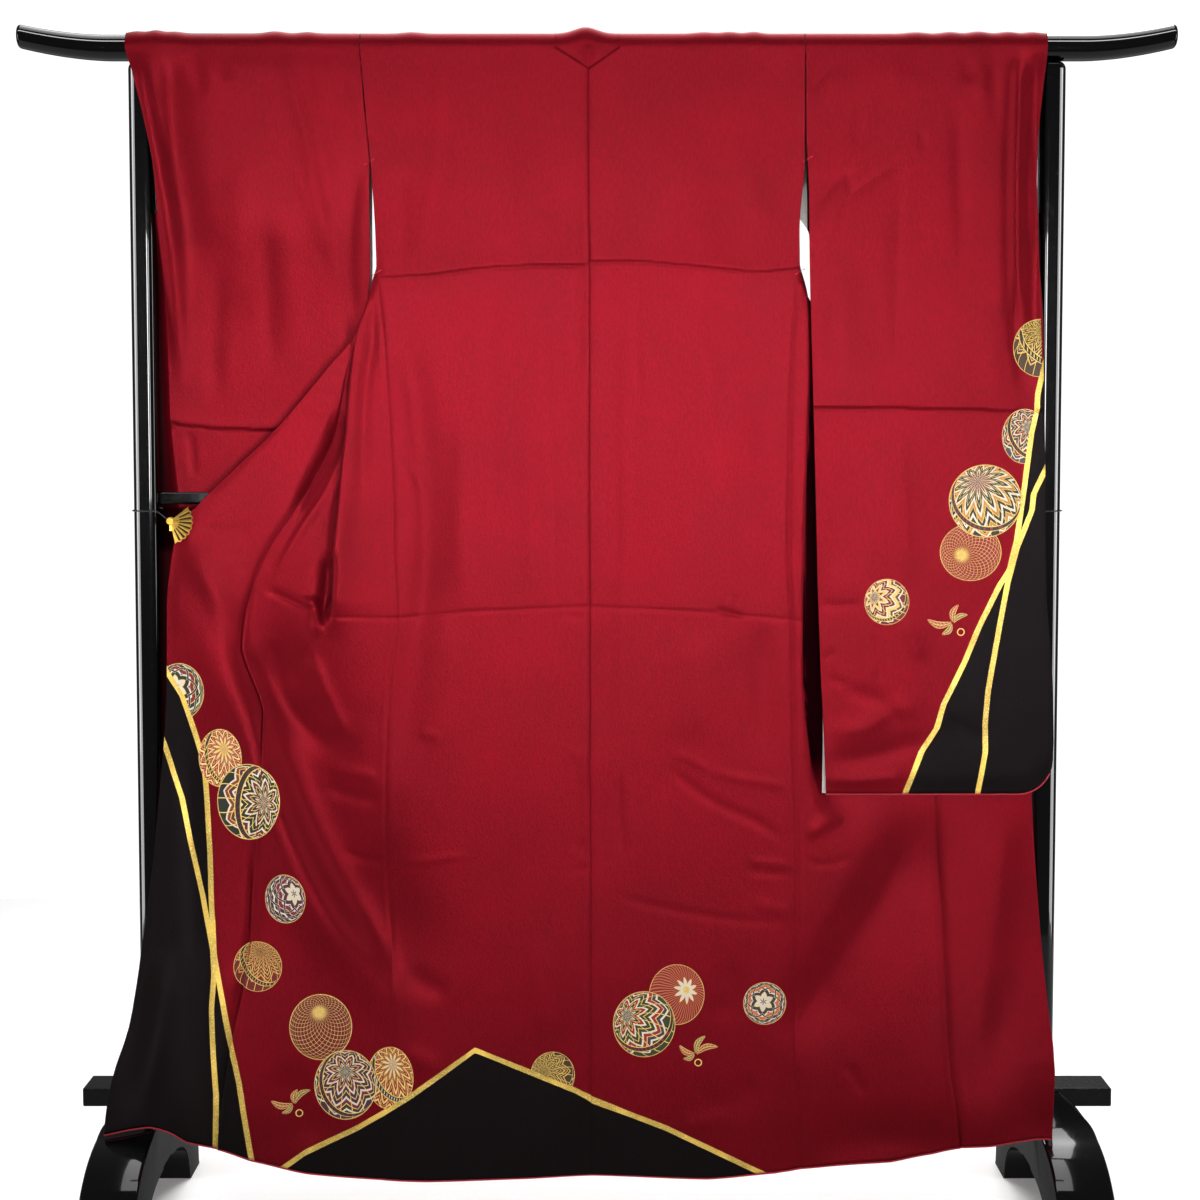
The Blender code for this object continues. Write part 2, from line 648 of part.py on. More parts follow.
def collar_neck(columns=10, rows=10):
    """The collar behind the neck: it fills the opening, crosses the bar and stands up."""
    at, high, wide = COLLAR_STAND
    start, end = NECK_LEFT + COLLAR_INSET, NECK_RIGHT - COLLAR_INSET
    grid = []
    for share in steps(columns):
        x = start + (end - start) * share
        centre = track(BACK, NECK_LOW, 2)
        reach = (x - centre) / ((NECK_LEFT if x < centre else NECK_RIGHT) - centre)
        low = NECK_LOW + (BAR_Z - NECK_LOW) * abs(reach) + COLLAR_CLEAR
        low = min(low, BAR_Z - COLLAR_LEAST)
        line = []
        for k in range(rows + 1):
            up = k / rows
            if up < COLLAR_BELOW:
                z = low + (BAR_Z - low) * up / COLLAR_BELOW
                line.append((x, -CLOTH_RADIUS - COLLAR_LEAN * (BAR_Z - z), z))
            else:
                turn = (up - COLLAR_BELOW) / (1 - COLLAR_BELOW) * math.pi * COLLAR_WRAP
                lift = high * math.exp(-(((x - at) / wide) ** 2)) * math.sin(turn) ** 2
                radius = CLOTH_RADIUS + lift
                line.append((x, -radius * math.cos(turn), BAR_Z + radius * math.sin(turn)))
        grid.append(line)
    cloth("collar_neck", grid)


def collar_tail(name, side, rows, edge, count=18):
    """The collar from the neck down to the clip, folded behind the panel's edge."""
    grid = []
    for share in steps(count):
        z = TAIL_TOP + (TAIL_LOW - TAIL_TOP) * share
        if z > edge[0][0]:
            x, y = stations_at(side, rows, z)[4]
        else:
            x, y = track(edge, z, 1), track(edge, z, 2)
        line = []
        for across in steps(2):
            inward = TAIL_INSET + TAIL_WIDE * across
            line.append((x - side * inward * TAIL_ACROSS, y + TAIL_BEHIND, z - inward * TAIL_DOWN))
        grid.append(line)
    cloth(name, grid)


def box(name, low, high, bevel, colour="lacquer", segments=3):
    """A rounded bar between two corners in millimetres."""
    shape = bmesh.new()
    bmesh.ops.create_cube(shape, size=1.0)
    for vert in shape.verts:
        for axis in range(3):
            middle = (low[axis] + high[axis]) / 2
            vert.co[axis] = (middle + vert.co[axis] * (high[axis] - low[axis])) * MM
    piece = solid(name, shape, colour)
    edges = piece.modifiers.new("Rounded edges", "BEVEL")
    edges.width = bevel * MM
    edges.segments = segments
    return piece


def tube(name, sections, colour="lacquer"):
    """A closed solid through rings of equal length, in millimetres."""
    shape = bmesh.new()
    rings = [[shape.verts.new(Vector(p) * MM) for p in ring] for ring in sections]
    count = len(rings[0])
    for ring, other in zip(rings, rings[1:]):
        for k in range(count):
            shape.faces.new((ring[k], ring[(k + 1) % count], other[(k + 1) % count], other[k]))
    shape.faces.new(rings[0])
    shape.faces.new(rings[-1])
    bmesh.ops.recalc_face_normals(shape, faces=shape.faces)
    piece = solid(name, shape, colour)
    piece.data.shade_smooth()
    piece.data.set_sharp_from_angle(angle=math.radians(50))
    return piece


def bar_centre(x):
    """Height of the top bar's middle and its scale at x."""
    share = max(0.0, (abs(x) - BAR_RISE_FROM) / (BAR_HALF - BAR_RISE_FROM))
    return BAR_Z + BAR_RISE * share ** 1.8, 1 + (BAR_TIP_SCALE - 1) * share


def top_bar(sides=20):
    """The round top bar, whose ends sweep up."""
    places = [-BAR_HALF + (BAR_HALF - BAR_RISE_FROM) * s for s in steps(5)]
    places = [places[0] + BAR_END_DEEP] + places[1:]
    xs = [-BAR_HALF] + places + [-x for x in places[::-1]] + [BAR_HALF]
    rings = []
    for x in xs:
        middle, scale = bar_centre(x)
        radius = BAR_RADIUS * scale - (BAR_END_ROUND if abs(x) == BAR_HALF else 0)
        ring = []
        for k in range(sides):
            turn = 2 * math.pi * k / sides
            ring.append((x, radius * math.cos(turn), middle + radius * math.sin(turn)))
        rings.append(ring)
    tube("top_bar", rings)


def foot(name, side):
    """An arched foot, notched for the plank that crosses it."""
    front = [(-y, z) for y, z in FOOT_UNDER[::-1]] + [(-y, z) for y, z in FOOT_TOP[::-1]]
    notch = [(-FOOT_TOP[0][0], PLANK_LOW - JOINT_GAP), (FOOT_TOP[0][0], PLANK_LOW - JOINT_GAP)]
    outline = front + notch + list(FOOT_TOP) + list(FOOT_UNDER)
    middle = (FOOT_INNER + FOOT_OUTER) / 2
    half = (FOOT_OUTER - FOOT_INNER) / 2
    rings = []
    for across in FOOT_RINGS:
        ring = []
        for y, z in outline:
            top = smooth(FOOT_FLARE_TO, FOOT_FLARE_FROM, z)
            reach = half + (FOOT_TOP_HALF - half) * top
            centre = middle + (POST_X - middle) * top
            outside = abs(y) > FOOT_TOP[0][0]
            inset = FOOT_BEVEL if outside and abs(across) == 1.0 else 0.0
            ring.append((
                side * (centre + reach * across),
                y * (1 - inset / math.hypot(y, z)),
                z - inset * smooth(FOOT_BEVEL_FROM, FOOT_BEVEL_TO, z),
            ))
        rings.append(ring)
    tube(name, rings)


def fan_clip():
    """A closed folding fan in gilt metal: ribs in front, a jaw behind, a knuckle between."""
    pivot = Vector(FAN_PIVOT)
    pleats = 2 * FAN_RIBS
    shape = bmesh.new()
    front, back = [], []
    for k in range(pleats + 1):
        turn = FAN_FIRST + (FAN_LAST - FAN_FIRST) * k / pleats
        raised = FAN_RELIEF if k % 2 else 0.0
        for radius in (FAN_HUB, FAN_REACH * 0.55, FAN_REACH - raised):
            x = pivot.x + radius * math.cos(turn)
            z = pivot.z + radius * math.sin(turn)
            lift = FAN_FRONT + raised * radius / FAN_REACH
            front.append(shape.verts.new(Vector((x, pivot.y - lift, z)) * MM))
            back.append(shape.verts.new(Vector((x, pivot.y + FAN_BACK, z)) * MM))
    for k in range(pleats):
        for r in range(2):
            a, b = 3 * k + r, 3 * (k + 1) + r
            shape.faces.new((front[a], front[a + 1], front[b + 1], front[b]))
            shape.faces.new((back[a], back[b], back[b + 1], back[a + 1]))
        for r in (0, 2):
            a, b = 3 * k + r, 3 * (k + 1) + r
            shape.faces.new((front[a], front[b], back[b], back[a]))
    for k in (0, pleats):
        for r in range(2):
            a = 3 * k + r
            shape.faces.new((front[a], front[a + 1], back[a + 1], back[a]))
    bmesh.ops.recalc_face_normals(shape, faces=shape.faces)
    piece = solid("clip_fan", shape, "gilt")
    near, far, radius = FAN_KNUCKLE
    knuckle = turned_pin("fan_knuckle", pivot.x, near, far, pivot.z, radius)
    join(piece, knuckle, box("fan_jaw", *FAN_JAW, CLIP_BEVEL, "gilt", 1))


def join(piece, *others):
    """Make one solid of a piece and the others."""
    for other in others:
        union = piece.modifiers.new("Join", "BOOLEAN")
        union.operation = "UNION"
        union.object = other
        other.hide_render = True
        other.display_type = "WIRE"


def turned_pin(name, x, y_near, y_far, z, radius, sides=14):
    """A short round pin along Y."""
    rings = []
    for y, scale in ((y_near, 0.8), (y_near + 1, 1.0), (y_far - 1, 1.0), (y_far, 0.8)):
        ring = []
        for k in range(sides):
            turn = 2 * math.pi * k / sides
            ring.append((x + radius * scale * math.cos(turn), y, z + radius * scale * math.sin(turn)))
        rings.append(ring)
    return tube(name, rings, "gilt")


def plain_clip():
    """The plain clip behind the right sleeve, closed on the front edge."""
    front = box("clip_plain", *PLAIN_PLATE, CLIP_BEVEL, "gilt", 1)
    jaw = box("plain_jaw", *PLAIN_JAW, CLIP_BEVEL, "gilt", 1)
    join(front, turned_pin("plain_knuckle", *PLAIN_KNUCKLE), jaw)


def clip_cord(name, side, start):
    """A thin cord from the clip's knuckle, once round the post."""
    half = POST_SIDE / 2 + JOINT_GAP + CORD_THICK / 2
    path = [start]
    for dx, dy in ((-1, -1), (1, -1), (1, 1), (-1, 1)):
        for k in range(1 if len(path) == 1 else 0, 3):
            turn = math.atan2(dy, dx) + (k - 1) * math.pi / 6
            x = POST_X + dx * (half - POST_BEVEL) + POST_BEVEL * math.cos(turn)
            y = dy * (half - POST_BEVEL) + POST_BEVEL * math.sin(turn)
            path.append((side * x, y, CORD_Z + CORD_CLIMB * len(path)))
    path.append((side * (POST_X - half), -half * 0.3, CORD_Z + CORD_END))
    curve = bpy.data.curves.new(name, "CURVE")
    curve.dimensions = "3D"
    curve.bevel_depth = CORD_THICK / 2 * MM
    curve.bevel_resolution = 2
    curve.use_fill_caps = True
    line = curve.splines.new("POLY")
    line.points.add(len(path) - 1)
    for point, place in zip(line.points, path):
        point.co = (*(Vector(place) * MM), 1.0)
    piece = bpy.data.objects.new(name, curve)
    bpy.context.collection.objects.link(piece)
    curve.materials.append(material("cord"))


def stand():
    """Top bar, posts, middle rail, plank and feet."""
    top_bar()
    half = POST_SIDE / 2
    for name, side in (("post_left", -1), ("post_right", 1)):
        x = side * POST_X
        box(name, (x - half, -half, PLANK_HIGH + JOINT_GAP),
            (x + half, half, BAR_Z - BAR_RADIUS - JOINT_GAP), POST_BEVEL)
    inner = POST_INNER - JOINT_GAP
    rail = MID_RAIL_HIGH / 2
    box("rail_middle", (-inner, -rail, MID_RAIL_Z - rail), (inner, rail, MID_RAIL_Z + rail),
        MID_RAIL_BEVEL)
    deep = PLANK_DEEP / 2
    box("rail_lower", (-PLANK_HALF, -deep, PLANK_LOW), (PLANK_HALF, deep, PLANK_HIGH),
        PLANK_BEVEL)
    foot("foot_left", -1)
    foot("foot_right", 1)


def garment():
    """Body lengths, overlap panels, sleeves and collar."""
    body("body_left", -1, FRONT_LEFT, FOLDS_FRONT_LEFT)
    body("body_right", 1, FRONT_RIGHT, FOLDS_FRONT_RIGHT)
    okumi("okumi_left", -1, FRONT_LEFT, EDGE_LEFT, FOLDS_FRONT_LEFT)
    okumi("okumi_right", 1, FRONT_RIGHT, EDGE_RIGHT, FOLDS_FRONT_RIGHT)
    sleeve("sleeve_left", SLEEVE_LEFT, FOLDS_SLEEVE_LEFT)
    sleeve("sleeve_right", SLEEVE_RIGHT, FOLDS_SLEEVE_RIGHT)
    collar_neck()
    collar_tail("collar_left", -1, FRONT_LEFT, EDGE_LEFT)
    collar_tail("collar_right", 1, FRONT_RIGHT, EDGE_RIGHT)


def main():
    for item in list(bpy.data.objects):
        bpy.data.objects.remove(item, do_unlink=True)
    stand()
    garment()
    fan_clip()
    plain_clip()
    clip_cord("cord_left", -1, CORD_LEFT)
    clip_cord("cord_right", 1, CORD_RIGHT)


main()
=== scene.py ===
"""Looks of a furisode that hangs over a black lacquered kimono stand, its back to the viewer.

X runs to the right of someone who looks at the garment's back, Y away from them, Z up.
The tables are in millimetres, and the pieces are made in metres.
"""
import json
import math

import bmesh
import bpy
import numpy as np
from bpy.props import FloatProperty, FloatVectorProperty, IntProperty, PointerProperty
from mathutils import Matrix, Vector
from mathutils.bvhtree import BVHTree

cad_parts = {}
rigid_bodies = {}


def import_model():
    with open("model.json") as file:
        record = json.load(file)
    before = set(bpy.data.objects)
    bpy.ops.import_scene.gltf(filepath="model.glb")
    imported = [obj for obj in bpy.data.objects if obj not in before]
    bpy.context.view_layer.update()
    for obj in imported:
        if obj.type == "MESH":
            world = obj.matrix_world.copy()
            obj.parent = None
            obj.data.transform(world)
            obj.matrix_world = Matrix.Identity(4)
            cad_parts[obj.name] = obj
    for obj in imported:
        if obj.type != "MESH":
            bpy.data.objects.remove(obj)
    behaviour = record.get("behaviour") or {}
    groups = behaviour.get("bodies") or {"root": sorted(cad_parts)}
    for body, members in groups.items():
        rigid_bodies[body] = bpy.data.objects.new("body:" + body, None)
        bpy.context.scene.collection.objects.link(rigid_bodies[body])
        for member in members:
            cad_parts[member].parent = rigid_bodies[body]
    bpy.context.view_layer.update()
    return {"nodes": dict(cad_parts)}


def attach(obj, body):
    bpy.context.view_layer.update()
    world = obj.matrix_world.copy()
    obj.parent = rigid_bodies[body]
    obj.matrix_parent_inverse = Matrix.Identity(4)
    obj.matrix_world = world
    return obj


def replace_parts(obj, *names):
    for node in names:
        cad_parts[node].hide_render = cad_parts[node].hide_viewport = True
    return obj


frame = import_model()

bl_info = {
    "name": "Furisode on a kimono stand",
    "version": (1, 0, 0),
    "blender": (4, 5, 0),
    "location": "View3D > Sidebar > Furisode",
    "description": "Makes the cloth, the stand and the motifs of a hanging furisode",
    "category": "Add Mesh",
}

MM = 0.001
ROOT = "root"
SIDES = (("left", -1), ("right", 1))
FAR_OFF = 60.0

# Stand
BAR_RADIUS = 18.5
BAR_Z = 1698.0
BAR_HALF = 822.0
BAR_RISE = 17.0
BAR_RISE_FROM = 690.0
BAR_BEND = 1.8
BAR_TIP_SCALE = 0.9
BAR_END_ROUND = 5.0
CLOTH_RADIUS = 20.0
POST_X = 647.0
POST_SIDE = 36.0
POST_BEVEL = 12.0
POST_INNER = POST_X - POST_SIDE / 2
JOINT_GAP = 0.3
MID_RAIL_Z = 1059.5
MID_RAIL_HIGH = 17.0
PLANK_HALF = 746.0
PLANK_DEEP = 70.0
PLANK_LOW = 178.0
PLANK_HIGH = 205.0
FOOT_INNER = 630.0
FOOT_OUTER = 710.0
FOOT_TOP_HALF = 22.0
FOOT_FLARE_FROM = 205.0
FOOT_FLARE_TO = 158.0
FOOT_ROUND = 4.0
FOOT_FLAT = 0.7
RAIL_BEVEL = 3.0
PLANK_BEVEL = 2.5

# Foot seen from the side: y out from the middle, height of its upper and lower face
FOOT_TOP = (
    (35.4, 200), (44, 196), (60, 180), (80, 166), (110, 156),
    (143, 149), (175, 139), (205, 124), (232, 103), (252, 72),
    (264, 36), (268, 0),
)
FOOT_UNDER = (
    (190, 0), (184, 22), (170, 44), (146, 63), (112, 77),
    (70, 86), (24, 89),
)

# Cloth
HEM_BLEND_FROM = 420.0
HEM_BASE = 100.0
SIDE_SEAM_TOP = 1386.0
BAR_TURNS = 14
SEAM_EASE = 40.0
BAR_EASE = 50.0
TUCKED = 2.0
TUCKED_DEEP = 2.4
CENTRE_DEEP = 0.8
SEAM_ROLL = 0.5
SEAM_ROLL_WIDE = 1.8
SEAM_PRESS = -0.35
SEAM_PRESS_AT = 6.5
SEAM_PRESS_WIDE = 3.2
CREASES_FROM_BAR = 1640.0
CREASE_REACH = 4.5
CREASE_START = (-0.02, 0.28)
CREASE_END = (1.02, 0.72)
TUCK_WIDE = 2.6
SEAM_LEDGE = 0.8
LEDGE_WIDE = (9, 2)
LEDGE_EASE = 90
SEAM_TOP_EASE = 20
ARMHOLE_EASE = 60
OKUMI_BEHIND = 0.4
POST_CLEAR = (3, 30)
BACK_COLUMNS = 54
BEYOND_NECK = (0.25, 0.5, 0.75, 0.88, 0.96, 1.0)
FRONT_COLUMNS = (17, 12, 12)
HIDDEN_COLUMNS = 29
OKUMI_COLUMNS = 34
SLEEVE_COLUMNS = 62

# Rows of the body panels and of the sleeves: from which height, to which, and the spacing
BODY_ROWS = (
    (BAR_Z, 1412.0, 5.2), (1412.0, 1362.0, 2.5), (1362.0, 925.0, 5.0),
    (925.0, 865.0, 2.5), (865.0, HEM_BASE, 5.0),
)
SLEEVE_ROWS = ((BAR_Z, 1205.0, 5.0), (1205.0, 1145.0, 2.5), (1145.0, 636.0, 5.0))

# Hem height by x, all round the garment
HEM = (
    (-702, 160), (-669, 164), (-640, 166), (-611, 156), (-588, 140), (-545, 128),
    (-499, 108), (-420, 86), (-309, 75), (-247, 72), (-98, 77), (-7, 82),
    (159, 76), (258, 85), (291, 91), (424, 104), (484, 119), (516, 129),
    (562, 137), (608, 152), (630, 158), (652, 160),
)

# Back panels: height, left side seam, centre seam, right side seam, depth at each
BACK = (
    (1698, -335, -12.5, 294, -20, -20, -20),
    (1620, -329, -12.5, 294.5, -21.5, -22, -21.5),
    (1537, -321, -12.5, 294.5, -23, -24, -23),
    (1453, -315, -12, 287.5, -25, -25, -25),
    (1383, -312, -11.5, 287, -27, -26, -27),
    (1306, -304, -11.5, 279, -27.5, -27, -27.5),
    (1200, -297, -11, 275, -28, -28, -28),
    (1087, -292, -11, 274, -28.5, -29, -28.5),
    (979, -290, -10.5, 273, -29, -30, -29),
    (887, -286, -10, 278, -30, -31, -30),
    (788, -297, -10, 279.5, -31, -32, -31),
    (677, -303, -10, 283, -33, -34, -33),
    (547, -304, -9.5, 287, -36, -37, -36),
    (404, -296, -9, 287, -41, -42, -41),
    (300, -293, -9, 286, -44, -45, -44),
    (180, -304, -9, 290, -46, -47, -46),
    (60, -314, -9, 295, -46, -47, -46),
)
NECK_LEFT = -59.0
NECK_RIGHT = 32.0
NECK_LOW = 1668.0
NECK_EASE_FROM = 1500.0

# Front panels, far side of the bar and then forward to the clips. Each row is a height
# and four stations after the side seam: pleat edge, pleat inside, middle, overlap seam
FRONT_LEFT = (
    (1698, (-270, 20), (-200, 20), (-130, 20), (-59, 20)),
    (1600, (-275, 20.5), (-220, 20.5), (-165, 20), (-112, 19.5)),
    (1500, (-282, 18.5), (-245, 19.5), (-208, 19), (-170, 18)),
    (1440, (-294, 11), (-272, 15), (-250, 16), (-226, 16)),
    (1383, (-314, -18), (-306, -11), (-299, -5), (-293, -1)),
    (1341, (-326, -25.5), (-311, -18), (-312, -11), (-319, -9)),
    (1290, (-342, -28), (-312, -19), (-331, -12), (-347, -12)),
    (1228, (-351, -30), (-322, -21), (-343, -14), (-360, -13.5)),
    (1157, (-357, -32), (-330, -23), (-352, -16), (-373, -15.5)),
    (1106, (-363, -33), (-338, -24), (-366, -17), (-394, -16.5)),
    (1033, (-370, -34.5), (-350, -25), (-390, -19), (-440, -18.5)),
    (979, (-376, -35.5), (-362, -26), (-412, -21), (-476, -20)),
    (924, (-379, -36), (-374, -27), (-430, -23), (-496, -22)),
    (887, (-372, -36), (-392, -29), (-442, -26), (-506, -23.5)),
    (843, (-350, -34), (-402, -32), (-452, -28), (-510, -25)),
    (753, (-348, -31), (-395, -31), (-438, -31), (-480, -30)),
    (650, (-350, -35), (-395, -37), (-440, -37), (-482, -35)),
    (500, (-350, -40), (-398, -43), (-446, -44), (-496, -41)),
    (400, (-350, -44), (-400, -47), (-450, -48), (-502, -47)),
    (250, (-350, -47), (-410, -51), (-467, -55), (-528, -60)),
    (100, (-366, -48), (-424, -53), (-484, -60), (-545, -74)),
)
FRONT_RIGHT = (
    (1698, (230, 20), (165, 20), (98, 20), (32, 20)),
    (1600, (243, 20.5), (190, 20.5), (140, 20), (92, 19.5)),
    (1500, (262, 18), (228, 19), (196, 19), (165, 18)),
    (1440, (275, 10), (258, 14), (241, 15), (224, 15)),
    (1386, (289, -16), (284, -5), (277, 2), (268, 5)),
    (1346, (299, -25.5), (291, -12), (294, -5), (302, -5)),
    (1290, (302, -27.5), (291, -12), (308, -9), (328, -9)),
    (1234, (303, -28), (292, -13), (322, -11), (350, -11)),
    (1117, (299, -28.8), (290, -14), (344, -13), (388, -13)),
    (1043, (296, -29.3), (288, -14.5), (352, -14), (428, -14)),
    (988, (295, -29.5), (286, -15), (360, -15), (454, -14.5)),
    (935, (294, -30), (286, -16), (366, -16), (470, -15.5)),
    (847, (294, -30.5), (286, -18), (372, -18), (482, -16.5)),
    (780, (296, -31), (290, -20), (380, -19.5), (486, -18.5)),
    (650, (308, -33), (330, -24.5), (412, -23.5), (489, -22.5)),
    (557, (325, -37), (366, -35), (426, -32), (490, -29)),
    (464, (327, -41), (371, -41), (432, -39), (497, -37)),
    (325, (331, -46), (380, -48), (440, -50), (502, -52)),
    (232, (336, -48), (387, -52), (446, -58), (506, -66)),
    (100, (344, -49), (400, -55), (461, -65), (521, -82)),
)

# Armhole side of the front panels, far side of the bar: height and depth
ARMHOLE = ((1698, 20), (1600, 19.5), (1500, 16), (1440, 3), (1386, -27))

# Front edge of each overlap panel: height, x and depth, down from the collar's point
EDGE_LEFT = (
    (1290, -348, -12.5), (1248, -382, -14), (1197, -424, -15), (1157, -461, -16),
    (1094, -525, -17), (1044, -576, -17.5), (1029, -596, -17.5), (997, -606, -18),
    (953, -613, -19), (914, -617, -20), (785, -619, -22), (703, -624, -23.5),
    (621, -632, -26), (536, -640, -30), (473, -648, -35), (410, -656, -41),
    (360, -661, -48), (300, -668, -56), (260, -675, -64), (200, -690, -80),
    (150, -697, -98), (100, -699, -114),
)
EDGE_RIGHT = (
    (1290, 329, -9.5), (1234, 388, -11.5), (1157, 468, -13), (1094, 540, -13.5),
    (1044, 598, -13.5), (1029, 609, -13.5), (997, 613, -14), (953, 616, -14.5),
    (850, 619, -15.8), (700, 624, -18.5), (633, 627, -21), (557, 631, -25),
    (487, 636, -30), (417, 641, -37), (347, 646, -46), (279, 651, -58),
    (241, 654, -70), (204, 654, -84), (150, 648, -108), (100, 642, -131),
)
CLIP_Z = 1029.0
OKUMI_INSET = 8.0
OKUMI_BOW = 1.4

# Sleeves: height, body side, cuff side, depth of the near and the far layer, and how far
# the far layer reaches beyond the near one at the body side and at the cuff side
SLEEVE_LEFT = (
    (1698, -335.6, -667, -20, 20, 0, 0), (1666, -333, -657, -21.5, 20.4, 0, 0),
    (1608, -328.5, -643, -22, 20.2, 0, 0), (1537, -322, -629, -21.5, 20.4, 0, -2),
    (1458, -323, -623, -18.5, 22.5, 0, -22), (1383, -323.5, -618, -8, 26, 0, -27),
    (1314, -328, -617, 0.5, 28, 0, -28), (1224, -331, -615, 6, 29, 0, -30),
    (1166, -332, -614, 10, 31, 0, -31), (1071, -334, -606, 12.5, 33, 0, -39),
    (900, -336, -602, 12.5, 33, 0, -43), (600, -338, -602, 12.5, 33, 0, -43),
)
SLEEVE_RIGHT = (
    (1698, 294.6, 637, -20, 20, 0, 0), (1646, 295.5, 631, -21.5, 20.2, 0, 0),
    (1577, 296, 624, -23, 17, 0, 3), (1507, 299.5, 622, -25.5, 6, -13, 5),
    (1462, 300.2, 623.4, -27, -2, -13, 4), (1440, 300.6, 624, -27.8, -8, 0, 4),
    (1424, 301, 624.5, -28.5, -12, 2, 3.5), (1312, 303.5, 631, -31.5, -22.8, 2.5, 4),
    (1188, 307.5, 635.5, -33, -23.5, 2.5, 0), (1100, 310.5, 638, -34, -24, 2.5, 0),
    (919, 315.5, 642, -35.5, -25, 2.5, 0), (809, 320, 651, -37, -26.5, 2.5, 0),
    (712, 325.5, 654, -38, -28.5, -1, 0), (600, 330, 654, -39, -29.5, -7, 0),
)

# How much further out the front edge shows, since it hangs nearer than the sleeve
EDGE_NEARER = 1.007

# Deep shade painted on the cloth: its share, and the heights where it starts, is full, is
# full for the last time and ends
EDGE_SHADE = 0.55
EDGE_SHADE_Z = (1030, 1050, 1290, 1330)
RAIL_SHADE_Z = (975, 990, 1044, 1052)
RAIL_SHADE_TO_X = -540
PLEAT_RIGHT_Z = (640, 690, 1335, 1352)
PLEAT_RIGHT_TO_X = (370, 350)
PLEAT_LEFT_SHADE = 0.5
PLEAT_LEFT_Z = (860, 900, 1240, 1300)
PLEAT_LEFT_WIDE = 16
CUFF_SHADE_COLUMNS = 4

# Lower edge of the sleeves, and how their far layer follows the near one
SLEEVE_BOTTOM = 636.0
SLEEVE_CORNER = 50.0
CUFF_LENGTH = 230.0
BOTTOM_EASE = 30.0
BOTTOM_PINCH = 0.3
LEAST_HOLLOW = 5.0
FAR_SHARE = 0.4
FAR_MOST = 1.5
FAR_EASE = 6

# Creases: the path (x, z) of each, its half width to the left and to the right, its depth
# away from the viewer, negative for a ridge towards them, and the powers of its profile to
# the left and to the right where it isn't a plain bell
CREASES_FRONT_LEFT = (
    # The great fold from the clip to the side seam
    (((-581, 1000), (-568, 950), (-551, 893), (-526, 818), (-498, 742),
      (-470, 662), (-432, 559), (-393, 480), (-340, 392), (-278, 312)), 40, 34, -20),
    (((-567, 972), (-537, 914), (-507, 835), (-472, 749),
      (-441, 677), (-402, 582), (-357, 495), (-296, 407), (-235, 334)), 32, 78, 25),
    (((-617, 1040), (-586, 1009), (-567, 965), (-531, 903),
      (-506, 847), (-490, 791), (-464, 710), (-441, 647)), 22, 46, -5.1),
    (((-583, 972), (-563, 891), (-542, 810), (-515, 722), (-472, 622)), 26, 20, 4.2),
    # The gap beside the overlap seam
    (((-362, 1198), (-381, 1136), (-406, 1087), (-437, 1031)), 11, 9, 6.8),
    (((-355, 1148), (-387, 1074), (-431, 1006), (-469, 938)), 4, 10, -2.1),
    # Between pleat and side seam
    (((-316, 1369), (-319, 1296), (-330, 1210), (-334, 1111), (-336, 1037)), 10, 10, 2.5),
    (((-344, 1071), (-329, 1093), (-307, 1118)), 4, 5, 0.7),
    # The pocket at the ironed line
    (((-381, 986), (-386, 929), (-392, 897), (-395, 874)), 11, 8, 11),
    (((-428, 913), (-408, 909), (-402, 896), (-401, 878), (-395, 860)), 7, 8, -6),
    (((-363, 1100), (-371, 1037), (-376, 973),
      (-378, 910), (-385, 878), (-394, 860)), 5, 22, -4.2, 1.6, 2),
    (((-471, 857), (-452, 819), (-438, 785)), 12, 14, 2.2),
    (((-417, 835), (-403, 799), (-395, 763)), 9, 10, -2.1),
    (((-479, 930), (-451, 917), (-425, 906), (-408, 906)), 4, 6, 2),
    # Swags below it
    (((-487, 854), (-464, 785), (-434, 741), (-390, 707), (-334, 688)), 20, 22, 6),
    (((-415, 854), (-393, 794), (-370, 738), (-356, 704)), 7, 9, -3, 1.6, 1.6),
    (((-391, 673), (-347, 665), (-310, 657)), 9, 9, -2),
    (((-397, 647), (-354, 631), (-307, 622)), 10, 12, 2.2),
    (((-376, 554), (-342, 540), (-302, 534)), 5, 4, 1.5),
    # Along the overlap seam
    (((-496, 578), (-497, 470), (-509, 363), (-524, 283)), 5, 11, 3.8),
    (((-531, 407), (-544, 293), (-552, 184)), 18, 16, -3.4),
    (((-457, 248), (-426, 178), (-408, 120)), 26, 26, 4.2),
    (((-590, 710), (-582, 534), (-578, 369)), 14, 18, 3.4),
    (((-618, 407), (-633, 280), (-659, 165)), 20, 20, -5.1),
    # Folds that run from the clip
    (((-577, 1019), (-530, 1013), (-487, 1025)), 7, 12, 0.9),
    (((-561, 988), (-525, 969), (-488, 944)), 6, 8, 0.8),
    (((-567, 1050), (-504, 1118), (-430, 1198)), 16, 14, -2.1),
    (((-399, 1210), (-380, 1203), (-358, 1194)), 5, 6, 1),
    (((-417, 1195), (-399, 1182), (-377, 1176)), 5, 6, -0.9),
)
CREASES_FRONT_RIGHT = (
    # The deep fold below the sleeve
    (((477, 622), (446, 540), (388, 439), (338, 363), (295, 302), (260, 261)), 40, 60, 12.6),
    # The crest beside the front edge
    (((590, 634), (579, 508), (567, 407), (550, 312), (534, 222)), 50, 24, -5.4, 1.8, 1.8),
    (((297, 540), (328, 534), (371, 546)), 4, 6, 0.9),
    (((322, 432), (347, 451), (363, 470)), 7, 9, 1.3),
    (((358, 248), (374, 222), (387, 197)), 8, 8, 1.4),
    (((299, 572), (334, 597), (359, 603)), 9, 9, -2.2),
    # The roll above the hem
    (((299, 88), (387, 133), (513, 133), (601, 133)), 34, 34, 8.1),
)
